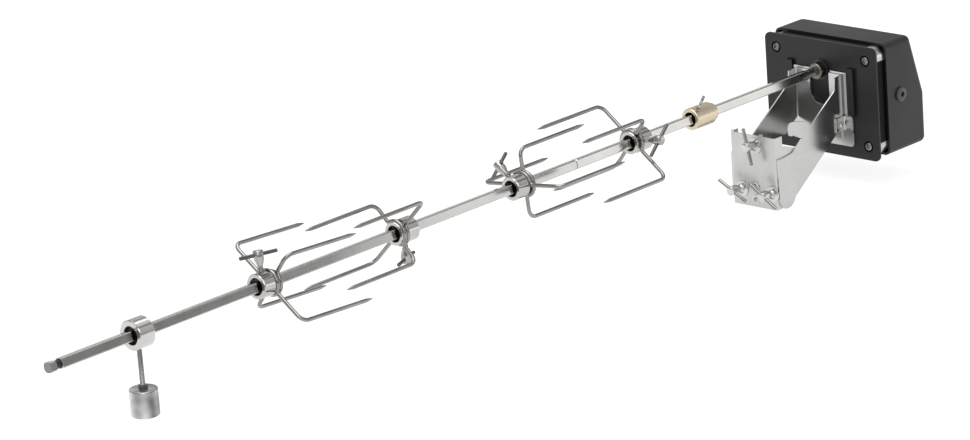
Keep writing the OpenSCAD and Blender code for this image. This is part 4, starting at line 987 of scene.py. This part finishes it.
@dataclass
class Switch:
    """Rocker switch on the housing's slope, with the usual stroke and ring. Millimetres."""

    slope_x: float = REACH + 2.0 + 15.0 + (42.0 + 62.0) / 2
    slope_z: float = SPIT_RISE + 31.0 + 0.9 - 65.0 / 2
    slope_deg: float = math.degrees(math.atan(20.0 / 65.0))
    sink: float = 2.0
    tilt_deg: float = 9.0
    middle_h: float = 4.4
    end_h: float = 6.4
    half_length: float = 9.1
    mark_in: float = 5.2
    ring_d: float = 4.4
    line: float = 0.7

    def build(self) -> None:
        """Dresses the bezel and the rocker, and prints the two marks."""
        dress("switch_bezel", ABS.material(), 0.3)
        dress("switch_rocker", RED.material(), 0.3)
        outer, inner = self.ring_d / 2, self.ring_d / 2 - self.line
        ring = lathed([(inner, 0.0), (outer, 0.0), (outer, 0.05), (inner, 0.05), (inner, 0.0)], 40)
        stroke = lathed([(0, 0), (self.line / 2, 0), (self.line / 2, 0.05), (0, 0.05)], 24)
        stroke.transform(Matrix.Diagonal((1.0, self.ring_d / self.line, 1.0, 1.0)))
        for name, mesh, side in (("switch_mark_ring", ring, -1), ("switch_mark_stroke", stroke, 1)):
            mesh.transform(self._on_rocker(side))
            add_piece(name, mesh, "rocker", WHITE_INK.material())

    def _on_rocker(self, side: int) -> Matrix:
        """Where a mark lies on one of the rocker's two faces, in metres."""
        fall = math.atan((self.end_h - self.middle_h) / self.half_length)
        height = self.middle_h + math.tan(fall) * self.mark_in
        return (Matrix.Translation((self.slope_x * MM, 0, self.slope_z * MM))
                @ Matrix.Rotation(math.radians(90 - self.slope_deg), 4, "Y")
                @ Matrix.Translation((0, 0, -self.sink * MM))
                @ Matrix.Rotation(math.radians(-self.tilt_deg), 4, "Y")
                @ Matrix.Translation((side * self.mark_in * MM, 0, height * MM))
                @ Matrix.Rotation(-side * fall, 4, "Y"))


@dataclass
class Studio:
    """Plain pale floor, soft light, and the camera at the photograph's angle."""

    lens: float = 166.92
    azimuth: float = -45.82
    elevation: float = 17.40
    roll: float = -4.26
    offset_mm: Point = (345.9, 155.39, 4633.73)
    floor_mm: float = -16.3
    # Grey of the surround by the height of the direction: two dark lines that bright metal shows.
    sky: tuple[tuple[float, float], ...] = (
        (0.0, 0.06), (0.02, 0.1), (0.045, 0.5), (0.16, 0.58), (0.58, 0.75), (0.63, 0.25),
        (0.67, 0.25), (0.73, 0.95))
    # How bright the floor is by itself, so that it stays white and shadows on it stay faint.
    floor_glow: float = 0.86

    def camera(self) -> None:
        """Sets the camera."""
        a, e, r = (math.radians(v) for v in (self.azimuth, self.elevation, self.roll))
        back = Vector((math.sin(a) * math.cos(e), -math.cos(a) * math.cos(e), math.sin(e)))
        right = Vector((math.cos(a), math.sin(a), 0.0))
        up = back.cross(right)
        right, up = (right * math.cos(r) + up * math.sin(r), up * math.cos(r) - right * math.sin(r))
        tx, ty, tz = self.offset_mm
        centre = -(right * tx + up * ty - back * tz) + Vector((REACH, 0, SPIT_RISE))
        data = bpy.data.cameras.new("camera")
        data.lens, data.sensor_width, data.sensor_fit = self.lens, 36.0, "HORIZONTAL"
        data.clip_start, data.clip_end = 0.1, 100.0
        camera = bpy.data.objects.new("camera", data)
        bpy.context.scene.collection.objects.link(camera)
        turn = Matrix((right, up, back)).transposed().to_4x4()
        camera.matrix_world = Matrix.Translation(centre * MM) @ turn
        bpy.context.scene.camera = camera

    def floor(self) -> None:
        form = bmesh.new()
        bmesh.ops.create_circle(form, cap_ends=True, segments=96, radius=14.0)
        mesh = bpy.data.meshes.new("floor")
        form.to_mesh(mesh)
        form.free()
        mesh.transform(Matrix.Translation((-0.4, 0, self.floor_mm * MM)))
        paper = Coating("paper_white_matt", "8c8c8c", "8a8a8a", 0.85, 0.02, 3.0, 0.0, 0.1).material()
        shader = next(n for n in paper.node_tree.nodes if n.type == "BSDF_PRINCIPLED")
        shader.inputs["Emission Color"].default_value = (1.0, 1.0, 1.0, 1.0)
        shader.inputs["Emission Strength"].default_value = self.floor_glow
        mesh.materials.append(paper)
        floor = bpy.data.objects.new("floor", mesh)
        bpy.context.scene.collection.objects.link(floor)

    def light(self, name: str, place: Point, aim: Point, size: tuple[float, float], watts: float
              ) -> None:
        """Hangs one soft rectangular light.

        Args:
            name: The light's name.
            place: Where it hangs, in metres.
            aim: The point that it looks at.
            size: Its width and height.
            watts: Its power.
        """
        data = bpy.data.lights.new(name, "AREA")
        data.shape, data.size, data.size_y, data.energy = "RECTANGLE", *size, watts
        lamp = bpy.data.objects.new(name, data)
        lamp.location = place
        lamp.rotation_mode = "QUATERNION"
        lamp.rotation_quaternion = (Vector(aim) - Vector(place)).to_track_quat("-Z", "Y")
        bpy.context.scene.collection.objects.link(lamp)

    def world(self) -> None:
        """Sets an even pale surround, darker near the horizon, so that bright metal has contrast."""
        scene = bpy.context.scene
        scene.world = bpy.data.worlds.new("surround")
        scene.world.use_nodes = True
        tree = scene.world.node_tree
        tree.nodes.clear()
        way = add_node(tree, "ShaderNodeTexCoord")
        split = add_node(tree, "ShaderNodeSeparateXYZ", {"Vector": way.outputs["Generated"]})
        ramp = add_node(tree, "ShaderNodeValToRGB", {"Fac": split.outputs["Z"]})
        stops = ramp.color_ramp.elements
        first, *others = self.sky
        stops[0].position, stops[0].color = first[0], (*[first[1]] * 3, 1)
        stops[1].position, stops[1].color = others[-1][0], (*[others[-1][1]] * 3, 1)
        for height, grey in others[:-1]:
            stops.new(height).color = (*[grey] * 3, 1)
        glow = add_node(tree, "ShaderNodeBackground", {
            "Color": ramp.outputs["Color"], "Strength": 1.0})
        add_node(tree, "ShaderNodeOutputWorld", {"Surface": glow.outputs["Background"]})

    def build(self) -> None:
        """Sets the whole studio."""
        self.camera()
        self.floor()
        self.world()
        self.light("overhead", (-0.6, 0.2, 2.6), (-0.45, 0.0, 0.0), (3.4, 2.2), 50.0)
        self.light("low_right", (1.66, -1.35, 0.22), (0.16, 0.15, 0.2), (1.5, 0.46), 2.6)
        self.light("left", (-2.4, -1.4, 1.5), (-0.5, 0.0, 0.1), (1.2, 1.6), 10.0)
        bpy.context.scene.view_settings.view_transform = "Standard"


def clear_startup() -> None:
    """Takes away whatever the empty file held before the frame came in."""
    kept = {o.name for o in (*frame["nodes"].values(), *frame["bodies"].values())}
    for thing in list(bpy.data.objects):
        if thing.name not in kept:
            bpy.data.objects.remove(thing)


def main() -> None:
    """Builds the studio and every sub-assembly in order."""
    logging.basicConfig(level=logging.INFO, format="%(name)s %(message)s")
    clear_startup()
    Studio().build()
    trees = Trees()
    Spit().build()
    for fork in (Fork(1, 797, 80.5, 1, drop=3.5, swing=2.0), Fork(2, 630, 270, -1),
                 Fork(3, 455, 38.5, 1), Fork(4, 296, 172.5, -1)):
        fork.build(trees)
    Counterweight().build(trees)
    Bushing().build()
    Bracket().build(trees)
    Motor().build(trees)
    GearTrain().build()
    Switch().build()


if __name__ == "__main__":
    main()
